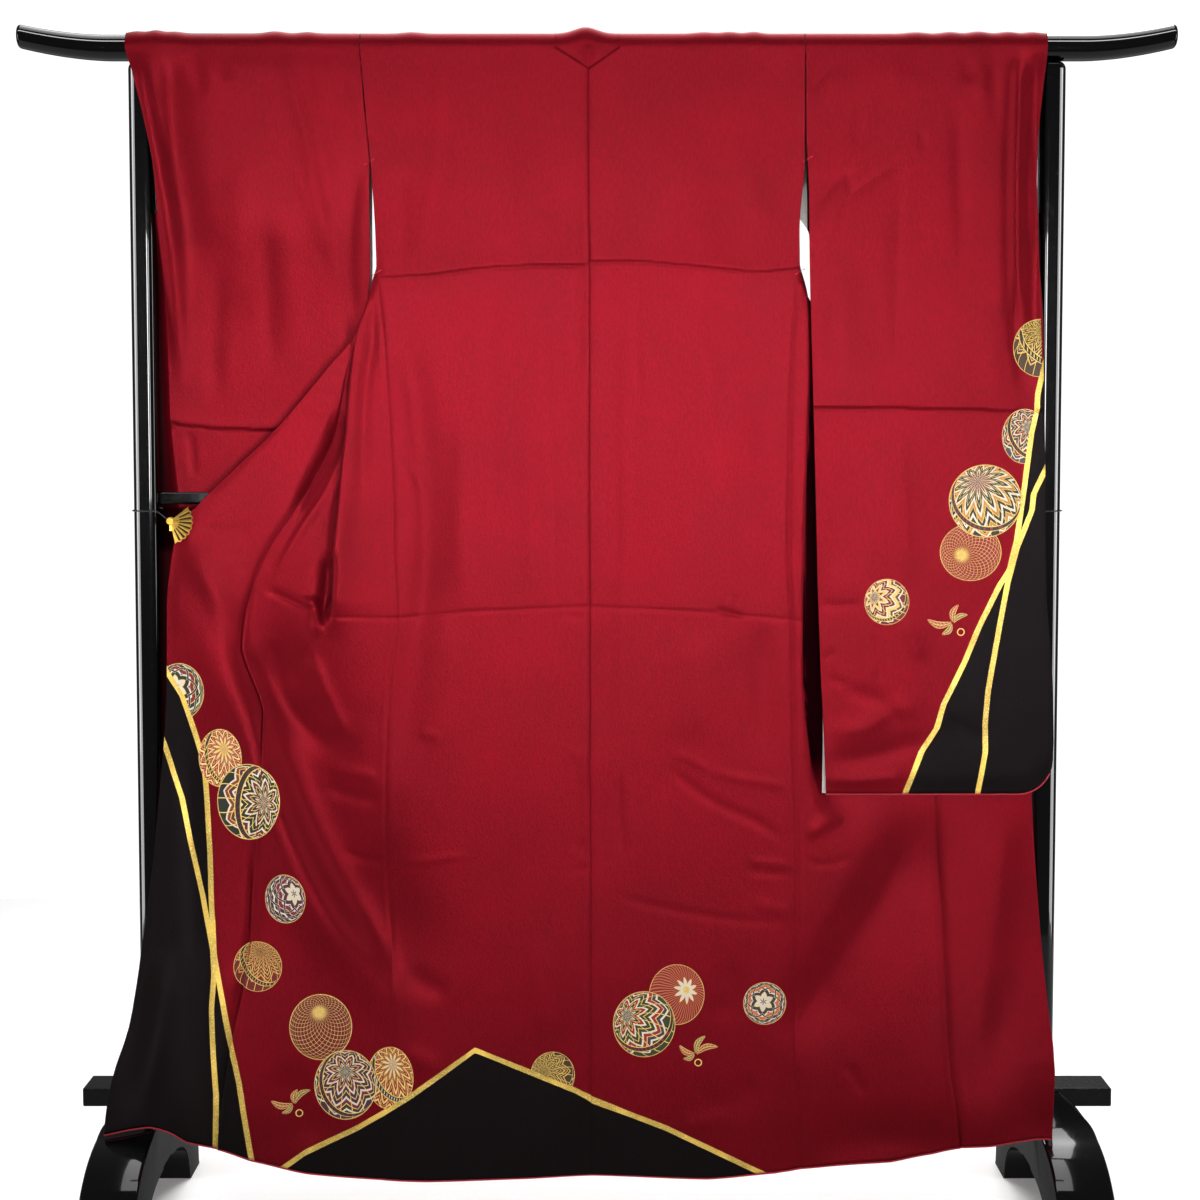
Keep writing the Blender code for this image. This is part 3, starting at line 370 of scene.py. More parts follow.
CREASES_BACK = (
    # Left of the centre seam
    (((-275, 1339), (-266, 1247), (-250, 1124), (-244, 1000), (-246, 886), (-250, 845)), 15, 26, 3.2),
    (((-249, 1009), (-252, 947), (-260, 847), (-276, 710), (-285, 647)), 18, 22, 2.7),
    (((-185, 1210), (-191, 1062), (-193, 886)), 18, 18, -2.1),
    (((-206, 897), (-216, 785), (-238, 678)), 20, 20, -1.4),
    (((-78, 1387), (-69, 1247), (-63, 1093), (-56, 886)), 6, 8, 0.7),
    (((-38, 1533), (-34, 1454), (-24, 1357), (-26, 1271), (-19, 1179)), 10, 10, 3),
    (((-52, 1393), (-46, 1271), (-41, 1124)), 12, 12, 1.6),
    (((-220, 1684), (-224, 1588), (-233, 1503), (-246, 1442), (-253, 1406)), 8, 10, -1),
    (((-212, 1678), (-215, 1582), (-223, 1503), (-237, 1430)), 8, 12, 1),
    (((-280, 1533), (-274, 1460), (-273, 1393)), 9, 12, 1.4),
    (((-105, 1569), (-99, 1479), (-96, 1393)), 14, 16, -1.4),
    (((-90, 1271), (-97, 1124), (-91, 886)), 16, 18, -1.3),
    (((-152, 1369), (-149, 1185), (-144, 1000)), 16, 16, 1.3),
    (((-276, 1118), (-258, 1087), (-244, 1062)), 5, 6, 1.4),
    (((-288, 534), (-236, 540), (-179, 549)), 6, 6, -1, 1.8, 1.8),
    (((-256, 724), (-238, 720), (-221, 716)), 6, 7, -1),
    (((-40, 898), (-29, 886), (-22, 885)), 4, 4, 1.6),
    (((-26, 572), (-17, 556), (-7, 540)), 4, 4, 1.4),
    (((-32, 515), (-20, 526), (-7, 530)), 4, 4, 1.3),
    (((-29, 704), (-18, 685), (-13, 647)), 6, 8, -1.6),
    (((-277, 382), (-249, 359), (-211, 344)), 14, 16, 2.9),
    (((-281, 267), (-243, 242), (-218, 229)), 16, 16, -2.7),
    (((-80, 432), (-86, 344), (-67, 280)), 20, 22, -1.9),
    # Right of the centre seam
    (((29, 1648), (24, 1551), (21, 1472), (25, 1393)), 5, 7, 1),
    (((13, 1660), (9, 1576), (8, 1479)), 5, 6, 0.6),
    (((27, 1357), (20, 1185), (23, 1031), (20, 886)), 10, 13, 2.1),
    (((20, 972), (14, 835), (17, 697)), 9, 11, 2.1),
    (((28, 672), (33, 597), (37, 534)), 6, 8, 1.3),
    (((102, 1606), (123, 1509), (148, 1393), (146, 1308)), 24, 24, -1.3),
    (((163, 1387), (163, 1283), (168, 1185)), 8, 14, 1.1),
    (((208, 1576), (215, 1491), (221, 1430)), 18, 18, -1),
    (((175, 1600), (182, 1491), (187, 1406)), 16, 16, 1),
    (((58, 1390), (57, 1271), (61, 1185)), 3, 4, 1),
    (((253, 1678), (259, 1551), (258, 1418)), 20, 18, 1.3),
    (((258, 1381), (240, 1271), (237, 1185), (244, 1062)), 26, 26, 1.8),
    (((71, 1308), (77, 1124), (80, 938)), 22, 24, -1.8),
    (((206, 1185), (213, 1062), (207, 938)), 18, 20, -1.4),
    (((232, 891), (239, 766), (246, 678)), 20, 20, 2.6),
    (((133, 872), (140, 772), (134, 704)), 30, 30, -1.9),
    (((93, 678), (165, 624), (228, 594), (276, 562)), 6, 8, 1.2),
    (((159, 667), (215, 656), (280, 646)), 6, 6, -1),
    (((103, 691), (134, 685), (165, 666)), 6, 6, -0.8),
    (((212, 540), (247, 536), (283, 531)), 5, 5, -0.9),
    (((212, 524), (247, 520), (284, 516)), 4, 5, 0.8),
    (((12, 491), (97, 470), (197, 453), (288, 448)), 5, 6, 0.8),
    (((222, 479), (253, 470), (278, 467)), 8, 9, -1),
    (((185, 394), (197, 344), (172, 305)), 18, 18, 1.8),
    (((148, 165), (198, 190), (236, 222)), 20, 20, 2.1),
    (((116, 152), (154, 158), (185, 184)), 14, 16, -1.9),
    (((167, 902), (189, 896), (211, 890)), 4, 5, 1.3),
    (((196, 927), (191, 910), (188, 892)), 3, 4, 1.1),
)
CREASES_SLEEVE_LEFT = (
    # The hollow behind the cuff edge
    (((-612, 1710), (-610, 1674), (-603, 1583), (-589, 1492), (-579, 1419), (-574, 1357)), 16, 30, 5.6),
    (((-654, 1710), (-643, 1655), (-631, 1589),
      (-621, 1534), (-608, 1449), (-601, 1345), (-596, 1210)), 11, 12, -5.6),
    (((-576, 1704), (-566, 1662), (-557, 1625)), 9, 10, 1.5),
    (((-562, 1710), (-551, 1674), (-538, 1643)), 8, 9, -1.3),
    (((-538, 1704), (-529, 1674), (-521, 1649)), 8, 10, 1.3),
    (((-523, 1707), (-511, 1680), (-497, 1655)), 8, 10, -0.8),
    # The long slanting crease
    (((-447, 1707), (-427, 1631), (-409, 1559),
      (-400, 1492), (-382, 1425), (-372, 1345)), 8, 13, -1.5, 1.8, 1.8),
    (((-429, 1698), (-410, 1619), (-394, 1553), (-379, 1480), (-366, 1419)), 11, 14, 1.3),
    (((-436, 1540), (-416, 1492), (-398, 1443), (-386, 1394)), 7, 10, -0.6),
    (((-398, 1704), (-392, 1662), (-384, 1613)), 9, 11, -0.8),
    (((-350, 1698), (-338, 1613), (-331, 1528)), 8, 9, -0.8),
    # The hollow beside the body
    (((-337, 1541), (-350, 1462), (-354, 1394), (-351, 1333), (-343, 1290)), 30, 12, 3.1),
    (((-501, 1553), (-506, 1431), (-504, 1308)), 24, 24, -1.8),
    (((-538, 1395), (-548, 1297), (-549, 1186)), 16, 14, 1.7),
    (((-448, 1481), (-437, 1370), (-432, 1247)), 22, 22, -1.7),
    (((-473, 1456), (-471, 1346), (-468, 1235)), 14, 14, 1.4),
    (((-588, 1158), (-584, 1123), (-583, 1086)), 5, 6, 1.3),
)
CREASES_SLEEVE_RIGHT = (
    # The narrow hollow beside the cuff edge
    (((600, 1701), (598, 1610), (596, 1490), (599, 1344), (608, 1191)), 13, 9, 8.8),
    (((622, 1675), (620, 1592), (625, 1480), (621, 1340), (628, 1199)), 9, 9, -4),
    # Old folding marks
    (((316, 1390), (340, 1435), (358, 1487), (401, 1520), (447, 1554)), 4, 8, 1.2),
    (((307, 1464), (330, 1498), (354, 1526)), 5, 5, 1.6),
    (((354, 1527), (356, 1508), (357, 1487)), 4, 5, 1.4),
    (((459, 1580), (460, 1565), (462, 1550)), 4, 5, 1.4),
    (((433, 1547), (429, 1393), (424, 1194)), 14, 4, 1.4),
    (((423, 1182), (433, 1118), (440, 1013), (444, 921)), 24, 8, -0.9),
    (((308, 1641), (326, 1663), (348, 1688)), 4, 5, 1.4),
    (((416, 1699), (422, 1672), (426, 1642)), 8, 9, -1),
    (((448, 1702), (452, 1678), (460, 1654)), 8, 9, 0.9),
    (((520, 1702), (524, 1672), (529, 1642)), 9, 10, 1.6),
    (((537, 1705), (540, 1666), (543, 1612)), 9, 11, -1.4),
    (((560, 1705), (562, 1660), (562, 1576)), 8, 10, 1.1),
    (((511, 1622), (514, 1490), (517, 1393)), 9, 12, 1.4),
    (((374, 1634), (369, 1592), (365, 1550)), 6, 8, 1.1),
    (((317, 1343), (320, 1271), (315, 1216)), 9, 10, -1),
    (((354, 1392), (351, 1307), (357, 1210)), 12, 14, -1.3),
    (((397, 1368), (401, 1271), (402, 1197)), 11, 12, 0.6),
    (((540, 1271), (537, 1234), (540, 1194)), 8, 10, 0.7),
    (((571, 1343), (578, 1271), (585, 1194)), 10, 10, 0.7),
    # Ironed line and small marks
    (((317, 909), (348, 907), (383, 909)), 4, 4, 1.8),
    (((389, 871), (391, 846), (393, 821)), 3, 4, 1.2),
    (((400, 852), (404, 821), (408, 792)), 3, 4, 1.1),
    (((342, 844), (333, 835), (323, 826)), 4, 4, 1.4),
    (((325, 804), (343, 797), (360, 792)), 4, 6, 1.3),
    (((441, 892), (453, 855), (466, 824)), 8, 10, -1.8),
    # Waves above the lower edge
    (((325, 724), (380, 730), (423, 756), (473, 759)), 15, 14, -2.4),
    (((324, 685), (381, 686), (436, 702), (486, 712)), 15, 14, 2.6),
    (((324, 654), (381, 655), (443, 659)), 7, 8, -2.1),
    (((349, 787), (405, 768), (442, 731)), 10, 12, 1.8),
    (((504, 750), (529, 725), (566, 706)), 14, 14, 1.9),
    (((340, 1124), (347, 1032), (345, 939)), 18, 20, 1.6),
)

# Tucks and ironed lines: the line (x, z), how far the cloth above stands nearer, over
# what height that fades, and how far the cloth at the line sinks in
TUCKS_BACK = (
    (((-305, 1373), (-240, 1376), (-167, 1386), (-95, 1390), (-13, 1390)), 1.8, 26, 0.8),
    (((-11, 1395), (60, 1396), (149, 1388), (203, 1382), (240, 1381), (290, 1386)), 1.8, 26, 0.8),
    (((-435, 911), (-382, 890), (-288, 887), (-182, 897), (-10, 904), (147, 897), (300, 883)), -0.4, 8, 0.7),
)
TUCKS_SLEEVE_LEFT = ((((-620, 1166), (-544, 1158), (-461, 1157), (-330, 1158)), 3.0, 34, 1.5),)
TUCKS_SLEEVE_RIGHT = ((((306, 1188), (422, 1188), (597, 1184), (640, 1184)), 2.6, 34, 1.0),)

# Gathers over the bar: x, how far the cloth stands up, half width
GATHERS = (
    (-652, 3, 13), (-625, 4.5, 13), (-598, 2.5, 14), (-456, 3, 16), (-410, 2, 14),
    (-262, 2, 16), (152, 2, 18), (188, 2.5, 14), (222, 2.5, 13), (452, 2, 16),
    (500, 2.5, 14), (540, 3, 15), (582, 2.5, 14), (616, 2, 12),
)
COLLAR_STAND = (-16.0, 9.0, 22.0)
COLLAR_INSET = -2.0
COLLAR_BELOW = 0.25
COLLAR_UNDER = 1.3
COLLAR_WRAP = 0.94
COLLAR_SLOPE = 0.04
COLLAR_BULGE = 1.6
COLLAR_BULGE_WIDE = 5
TAIL_TOP = BAR_Z - 12
TAIL_LOW = CLIP_Z + 2
TAIL_BEHIND = 3.2
TAIL_INSET = 1.5
TAIL_WIDE = 48.0
TAIL_ACROSS = 0.72
TAIL_DOWN = 0.62

# Edges of the black fields, each with its gold line, and the second gold lines. The left
# ones and the sleeve's are rows of height and x, the back's are rows of x and height
FIELD_LEFT = (
    (90, -495), (108, -498), (166, -507), (221, -515), (286, -529), (347, -540),
    (403, -551), (429, -552), (477, -555), (551, -557), (643, -562), (684, -566),
    (735, -582), (776, -596), (804, -614), (850, -640),
)
LINE_LEFT = (
    (90, -549), (126, -548), (204, -547), (279, -552), (328, -554), (374, -551),
    (410, -553), (489, -568), (562, -585), (629, -598), (698, -620), (740, -636),
)
FIELD_BACK = (
    (-520, 66), (-458, 91), (-421, 116), (-347, 150), (-302, 176), (-267, 198), (-176, 264),
    (-33, 206), (-10, 194), (-8, 192), (100, 150), (222, 91), (300, 54),
)
FIELD_SLEEVE = (
    (620, 436), (632, 441), (698, 466), (731, 487), (764, 496), (824, 525), (876, 546),
    (936, 575), (958, 589), (1003, 599), (1063, 607), (1120, 614), (1153, 618),
    (1185, 625), (1207, 626), (1245, 634), (1290, 646),
)
LINE_SLEEVE = (
    (620, 545), (632, 546), (698, 557), (738, 556), (786, 560), (852, 571), (898, 579),
    (942, 587), (989, 599), (1043, 620), (1066, 622), (1104, 640), (1140, 656),
)

OVERLAP_FIELD_TO = -478
BACK_FIELD_TO = 330
FIELD_TOP = 900
LINE_LEFT_TOP = 760
FIELD_SLEEVE_TOP = 1290
LINE_SLEEVE_TOP = 1140
FIELD_CLEAR = 3.6

# Thread balls: place, half width and half height, tilt, where the pole of the winding lies
# on the ball, the design, its colours, and the field edge that cuts it
BALLS = (
    ("ball_sleeve_1", (628, 1273), (37, 41), 0.3, (0.3, 0.5), "leaves", "olive", "sleeve"),
    ("ball_sleeve_2", (608, 1148), (32, 39), 0.2, (0.2, 0.3), "star", "lavender", "sleeve"),
    ("ball_sleeve_3", (553, 1056), (52, 52), -0.3, (-0.35, 0.45), "petals", "autumn", None),
    ("ball_sleeve_4", (533, 983), (44, 41), 0.0, (-0.3, -0.1), "net", "gold", None),
    ("ball_sleeve_5", (414, 912), (32, 33), 0.5, (-0.4, 0.45), "star", "pale", None),
    ("ball_left_1", (-600, 782), (36, 41), 0.4, (-0.1, 0.2), "flower", "green", "left"),
    ("ball_left_2", (-541, 687), (32, 42), -0.2, (0.1, 0.35), "petals", "gold", None),
    ("ball_left_3", (-500, 625), (46, 55), -0.5, (0.45, 0.25), "star", "earth", None),
    ("ball_left_4", (-447, 486), (30, 36), 0.3, (0.5, 0.1), "flower", "plum", None),
    ("ball_left_5", (-488, 387), (35, 36), -0.15, (0.05, 0.6), "leaves", "bronze", None),
    ("ball_left_6", (-398, 299), (45, 48), 0.1, (0.0, 0.45), "net", "amber", None),
    ("ball_left_7", (-363, 214), (45, 51), -0.4, (-0.15, 0.35), "star", "plum", None),
    ("ball_left_8", (-299, 223), (34, 46), 0.2, (0.2, 0.4), "petals", "flame", "back"),
    ("ball_back_1", (-64, 228), (32, 34), 0.5, (-0.3, 0.3), "leaves", "olive", "back"),
    ("ball_back_2", (68, 302), (45, 48), 0.4, (-0.4, 0.45), "star", "meadow", None),
    ("ball_back_3", (115, 345), (40, 44), 0.0, (0.35, 0.15), "rays", "copper", None),
    ("ball_back_4", (242, 332), (31, 31), 0.2, (-0.05, 0.1), "flower", "slate", None),
)

NEARER = ("ball_sleeve_3", "ball_left_3", "ball_left_7", "ball_back_2")
NEARER_LIFT = 1.6
BALL_COLUMNS = 72

# Leaf sprigs: the fork, each leaf's direction in degrees, length and half width, and the ring
SPRIGS = (
    ("sprig_sleeve", (508, 882), ((172, 36, 7), (228, 22, 6), (72, 27, 6), (28, 24, 5.5)), (12, -13)),
    ("sprig_left", (-438, 186), ((168, 32, 6.5), (215, 20, 5), (75, 22, 5.5), (40, 32, 6)), (8, -13)),
    ("sprig_back", (142, 258), ((150, 26, 6), (200, 18, 5), (18, 34, 6.5), (62, 30, 6)), (4, -12)),
)
LEAF_ROWS = 12
LEAF_COLUMNS = 6
RING_RADII = (4.0, 5.6)
RING_COLUMNS = 24

# Fan clip: its hinge, the direction of its first rib and how far it opens in degrees
FAN_PIVOT = (-611.0, 1027.0)
FAN_FROM = 38
FAN_OPEN = 116
FAN_RIBS = 8
RIB_FROM = 13.5
RIB_TO = 31.0

# Trims: piping below the hem and the sleeve, and the stitches at the ends of seams (x, y, z)
PIPING_DROP = 0.9
BACK_HEM_DEPTH = -46.4
SLEEVE_PIPING = (3.0, -1.0)
PIPING = {"Radius": 0.0013, "Spacing": 0.006}
STITCHES = {"Spacing": 0.0042, "Length": 0.0052, "Thickness": 0.0011}
STITCHED = ((-313, -29.2, 1380), (288, -29.0, 1382), (-322, -26.4, 1536), (298, -27.4, 1540))

# Lamps: place, what it points at, width and height in metres, and power in watts. The gleams
# light only the lacquer of their side
LAMPS = (
    ("key_left", (-0.75, -3.8, 1.35), (-0.38, 0, 1.25), (0.8, 0.8), 5.7),
    ("key_right", (0.75, -3.8, 1.35), (0.38, 0, 1.25), (0.8, 0.8), 5.7),
    ("side_left", (-3.2, -1.3, 1.3), (0, 0, 1), (0.5, 2.0), 42.0),
    ("side_right", (3.2, -1.3, 1.3), (0, 0, 1), (0.5, 2.0), 42.0),
    ("top_light", (0.0, 0.7, 3.6), (0, 0, 1), (2.4, 2.4), 80.0),
    ("back_light", (0.4, 3.4, 3.2), (0, 0, 1), (2.4, 2.4), 90.0),
    ("gleam_left", (-2.43, -1.25, 1.0), (-0.65, 0, 1), (1.9, 2.6), 210.0),
    ("gleam_right", (2.43, -1.25, 1.0), (0.65, 0, 1), (1.9, 2.6), 210.0),
    ("gleam_top", (0.0, -1.2, 3.4), (0, 0, 1.7), (5.0, 0.35), 110.0),
)
KEY_SPREAD = math.radians(46)
FLOOR = ((-2.6, -2.0, 0), (2.6, -2.0, 0), (2.6, 2.4, 0), (-2.6, 2.4, 0))
SKY_SEEN = 1.0
SKY_LIT = 0.2
CAMERA_PLACE = (0.0043, -3.4, 1.15)
CAMERA_TURN = (math.radians(86), 0.0, 0.0)
CAMERA_LENS = 70.83
CAMERA_SENSOR = 36.0
VIEW_GAMMA = 0.87
VIEW_EXPOSURE = 0.14


def srgb(red, green, blue):
    """A colour given in 0 to 255 as seen, as the shader's own numbers."""
    seen = [value / 255 for value in (red, green, blue)]
    return tuple(v / 12.92 if v <= 0.04045 else ((v + 0.055) / 1.055) ** 2.4 for v in seen) + (1.0,)


RED = srgb(122, 9, 27)
BLACK = srgb(24, 18, 19)
GOLD = srgb(226, 192, 92)
WHITE = srgb(214, 204, 186)
WORN_GOLD = srgb(190, 148, 62), srgb(246, 222, 140)

# Colours of a ball's winding: ground, light thread, accent and centre
PALETTES = {
    "olive": [srgb(70, 44, 22), srgb(206, 172, 84), srgb(92, 78, 30), srgb(224, 196, 116)],
    "lavender": [srgb(70, 62, 80), WHITE, srgb(52, 56, 70), srgb(126, 18, 34)],
    "autumn": [srgb(34, 38, 26), WHITE, srgb(186, 128, 52), srgb(150, 34, 36)],
    "gold": [srgb(140, 14, 28), srgb(226, 206, 150), srgb(150, 30, 32), GOLD],
    "pale": [srgb(110, 22, 34), WHITE, srgb(92, 66, 50), srgb(214, 182, 110)],
    "green": [srgb(40, 42, 26), WHITE, srgb(112, 100, 50), srgb(128, 26, 38)],
    "earth": [srgb(28, 36, 22), WHITE, srgb(130, 62, 34), srgb(92, 34, 44)],
    "plum": [srgb(70, 38, 62), WHITE, srgb(44, 50, 34), srgb(116, 36, 54)],
    "bronze": [srgb(112, 20, 22), srgb(206, 150, 70), srgb(70, 40, 22), srgb(196, 150, 72)],
    "amber": [srgb(110, 10, 24), srgb(206, 146, 66), srgb(176, 70, 44), GOLD],
    "flame": [srgb(132, 16, 26), srgb(230, 204, 124), srgb(158, 52, 30), WHITE],
    "meadow": [srgb(48, 58, 26), WHITE, srgb(62, 54, 76), srgb(150, 30, 38)],
    "copper": [srgb(122, 20, 24), WHITE, srgb(190, 108, 66), GOLD],
    "slate": [srgb(56, 50, 52), WHITE, srgb(118, 30, 34), srgb(196, 104, 56)],
}
GROUND, LIGHT, ACCENT, CENTRE = range(4)

# Zigzag windings: points round the pole, depth of the zigzag, width of a band, half width of
# every other band's edge, and the bands' colours outwards from the pole
DESIGNS = {
    "star": (8, 0.34, 0.2, 0.045, (ACCENT, GROUND, CENTRE, GROUND, GROUND, CENTRE, ACCENT, GROUND)),
    "petals": (12, 0.5, 0.24, 0.07, (CENTRE, GROUND, GROUND, ACCENT, GROUND, GROUND, ACCENT, GROUND)),
    "flower": (6, 0.22, 0.26, 0.045, (ACCENT, LIGHT, GROUND, CENTRE, GROUND, ACCENT, GROUND, CENTRE)),
    "leaves": (9, 0.4, 0.17, 0.045, (ACCENT, GROUND, ACCENT, GROUND, GROUND, ACCENT, GROUND, GROUND)),
}


def smooth(low, high, value):
    """0 below low, 1 above high, and an S curve between."""
    share = np.clip((value - low) / (high - low), 0.0, 1.0)
    return share * share * (3 - 2 * share)


def between(value, start, full, last, end):
    """0 outside start and end, 1 from full to last, and S curves between."""
    return smooth(start, full, value) * smooth(end, last, value)


def spline(share, before, start, end, after):
    """The curve from start to end that also heeds the points before and after."""
    return 0.5 * (
        2 * start
        + (end - before) * share
        + (2 * before - 5 * start + 4 * end - after) * share ** 2
        + (3 * start - before - 3 * end + after) * share ** 3
    )


def track(rows, keys, column):
    """A column of a table at values of its first column, smooth between its rows."""
    table = sorted((row[0], row[column]) for row in rows)
    at, value = (np.array(part, float) for part in zip(*table))
    keys = np.clip(np.asarray(keys, float), at[0], at[-1])
    i = np.clip(np.searchsorted(at, keys, side="right") - 1, 0, len(at) - 2)
    share = (keys - at[i]) / (at[i + 1] - at[i])
    start, end = value[i], value[i + 1]
    before, after = value[np.maximum(i - 1, 0)], value[np.minimum(i + 2, len(at) - 1)]
    before = np.where((end - start) * (start - before) <= 0, start, before)
    after = np.where((after - end) * (end - start) <= 0, end, after)
    level = start == end
    before, after = np.where(level, start, before), np.where(level, end, after)
    return spline(share, before, start, end, after)


def to_hem(x, z):
    """Heights pulled so that the lowest row of a panel lies on the hem."""
    share = np.maximum(0.0, (HEM_BLEND_FROM - z) / (HEM_BLEND_FROM - HEM_BASE))
    return z + (track(HEM, x, 1) - HEM_BASE) * share


def gather(x):
    """How far the cloth stands off the bar's top at x."""
    return sum(high * np.exp(-(((x - at) / half) ** 2)) for at, high, half in GATHERS)


def over_bar(x, turn):
    """Depth and height of the cloth over the bar, turned from 0, near side, to pi."""
    radius = CLOTH_RADIUS + gather(x) * np.sin(turn) ** 2
    return -radius * np.cos(turn), BAR_Z + radius * np.sin(turn)


def rounded(path, count=8):
    """A finer path through the points of a coarse one, without corners."""
    points = [np.array(point, float) for point in path]
    points = [2 * points[0] - points[1]] + points + [2 * points[-1] - points[-2]]
    spans = zip(points, points[1:], points[2:], points[3:])
    return [spline(k / count, *span) for span in spans for k in range(count)] + [points[-2]]


def crease_depth(x, z, creases):
    """How far creases push the cloth away from the viewer at places (x, z)."""
    depth = np.zeros_like(x)
    for path, left, right, deep, *powers in creases:
        path = np.array(path, float)
        reach = CREASE_REACH * max(left, right)
        low, high = path.min(0) - reach, path.max(0) + reach
        close = np.nonzero((x > low[0]) & (x < high[0]) & (z > low[1]) & (z < high[1]))
        at_x, at_z = x[close], z[close]
        near, beside, along = np.full_like(at_x, 1e9), np.zeros_like(at_x), np.zeros_like(at_x)
        fine, run = rounded(path), 0.0
        for start, end in zip(fine, fine[1:]):
            way = end - start
            length = math.hypot(*way)
            share = ((at_x - start[0]) * way[0] + (at_z - start[1]) * way[1]) / length ** 2
            share = np.clip(share, 0, 1)
            off_x, off_z = at_x - start[0] - share * way[0], at_z - start[1] - share * way[1]
            off = np.hypot(off_x, off_z)
            closer = off < near
            near = np.where(closer, off, near)
            beside = np.where(closer, off_x * way[1] - off_z * way[0], beside)
            along = np.where(closer, run + share * length, along)
            run += length
        fade = smooth(*CREASE_END, along / run)
        if path[0][1] <= CREASES_FROM_BAR:
            fade = smooth(*CREASE_START, along / run) * fade
        on_left = beside * (-1 if path[-1][1] > path[0][1] else 1) > 0
        steep = np.where(on_left, *(powers or (2, 2)))
        depth[close] += deep * fade * np.exp(-((near / np.where(on_left, left, right)) ** steep))
    return depth


def tuck_depth(x, z, tucks):
    """How far tucks and ironed lines move the cloth away from the viewer."""
    depth = np.zeros_like(x)
    for line, lift, fade, sink in tucks:
        xs, zs = zip(*line)
        above = z - np.interp(x, xs, zs)
        ends = smooth(xs[0] - 1, xs[0] + 1, x) * smooth(xs[-1] + 1, xs[-1] - 1, x)
        depth -= ends * lift * np.where(above >= 0, np.exp(-np.maximum(above, 0) / fade), 0.0)
        depth += ends * sink * np.exp(-((above / TUCK_WIDE) ** 2))
    return depth


def rows_of(spans):
    """Heights from the top of the first span to the end of the last."""
    found = [spans[0][0]]
    for top, low, spacing in spans:
        count = round((top - low) / spacing)
        found += [top + (low - top) * k / count for k in range(1, count + 1)]
    return np.array(found)


def shares(count, width, dense=(1.2, 3.0, 6.0)):
    """Places across a panel from 0 to 1, closer together at its two edges."""
    middle = [k / count for k in range(1, count)]
    ends = [step / width for step in dense]
    middle = [share for share in middle if ends[-1] < share < 1 - ends[-1]]
    return np.array([0.0] + ends + middle + [1 - end for end in ends[::-1]] + [1.0])


def sheet_mesh(name, x, y, z, present=None, lines=(-FAR_OFF, FAR_OFF), shade=0.0, around=False,
               extra=()):
    """A mesh on a grid of points in millimetres.

    Its attribute holds the distances from the field's edge and from the second gold line, and
    the share of painted deep shade.
    """
    rows, columns = x.shape
    points = np.stack([x, y, z], -1).reshape(-1, 3) * MM
    index = np.arange(rows * columns).reshape(rows, columns)
    if present is None:
        present = np.ones((rows, columns), bool)
    faces = []
    for i in range(rows if around else rows - 1):
        n = (i + 1) % rows
        ok = present[i, :-1] & present[i, 1:] & present[n, :-1] & present[n, 1:]
        for j in np.nonzero(ok)[0]:
            faces.append((index[i, j], index[n, j], index[n, j + 1], index[i, j + 1]))
    faces += [tuple(index[place] for place in face) for face in extra]
    mesh = bpy.data.meshes.new(name)
    mesh.from_pydata(points.tolist(), [], [tuple(int(k) for k in face) for face in faces])
    layer = mesh.attributes.new("lines", "FLOAT_VECTOR", "POINT")
    values = np.stack([part + np.zeros_like(x) for part in (*lines, shade)], -1)
    layer.data.foreach_set("vector", values.ravel())
    shape = bmesh.new()
    shape.from_mesh(mesh)
    bmesh.ops.delete(shape, geom=[v for v in shape.verts if not v.link_faces], context="VERTS")
    bmesh.ops.remove_doubles(shape, verts=shape.verts, dist=0.02 * MM)
    return kept(shape, mesh)


def kept(shape, mesh):
    """The mesh with the shape that was worked on, shaded smooth."""
    shape.to_mesh(mesh)
    shape.free()
    mesh.shade_smooth()
    return mesh


def link(name, mesh, *finishes):
    """Link a mesh as a piece of the part with its materials."""
    for finish in finishes:
        mesh.materials.append(finish)
    piece = bpy.data.objects.new(name, mesh)
    bpy.context.collection.objects.link(piece)
    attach(piece, ROOT)
    return piece


def dress(node, mesh, *finishes):
    """Hang a sheet of silk, with its wall, in the place of its plain solid."""
    piece = link(node + "_silk", mesh, *finishes)
    wall = piece.modifiers.new("Wall", "SOLIDIFY")
    wall.thickness = settings().wall
    wall.offset = 0.0
    wall.use_quality_normals = True
    wall.material_offset = len(finishes) - 1
    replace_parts(piece, node)


class Socket:
    """An output that a formula can be written with."""

    def __init__(self, finish, port):
        self.finish = finish
        self.port = port

    def maths(self, operation, *others):
        return self.finish.node("ShaderNodeMath", {"operation": operation}, (self, *others))

    def __rsub__(self, other):
        return self.finish.node("ShaderNodeMath", {"operation": "SUBTRACT"}, (other, self))

    def wave(self):
        """A sine of this many radians, from 0 to 1."""
        return self.maths("SINE") * 0.5 + 0.5

    def from_half(self):
        """How far the fraction of this lies from a half."""
        return abs(self.maths("FRACT") - 0.5)


def written(operation):
    """A method for one of Python's own signs."""
    return lambda socket, *others: socket.maths(operation, *others)


for sign, operation in (
    ("add", "ADD"), ("radd", "ADD"), ("sub", "SUBTRACT"), ("mul", "MULTIPLY"), ("rmul", "MULTIPLY"),
    ("lt", "LESS_THAN"), ("gt", "GREATER_THAN"), ("abs", "ABSOLUTE"),
):
    setattr(Socket, "__%s__" % sign, written(operation))


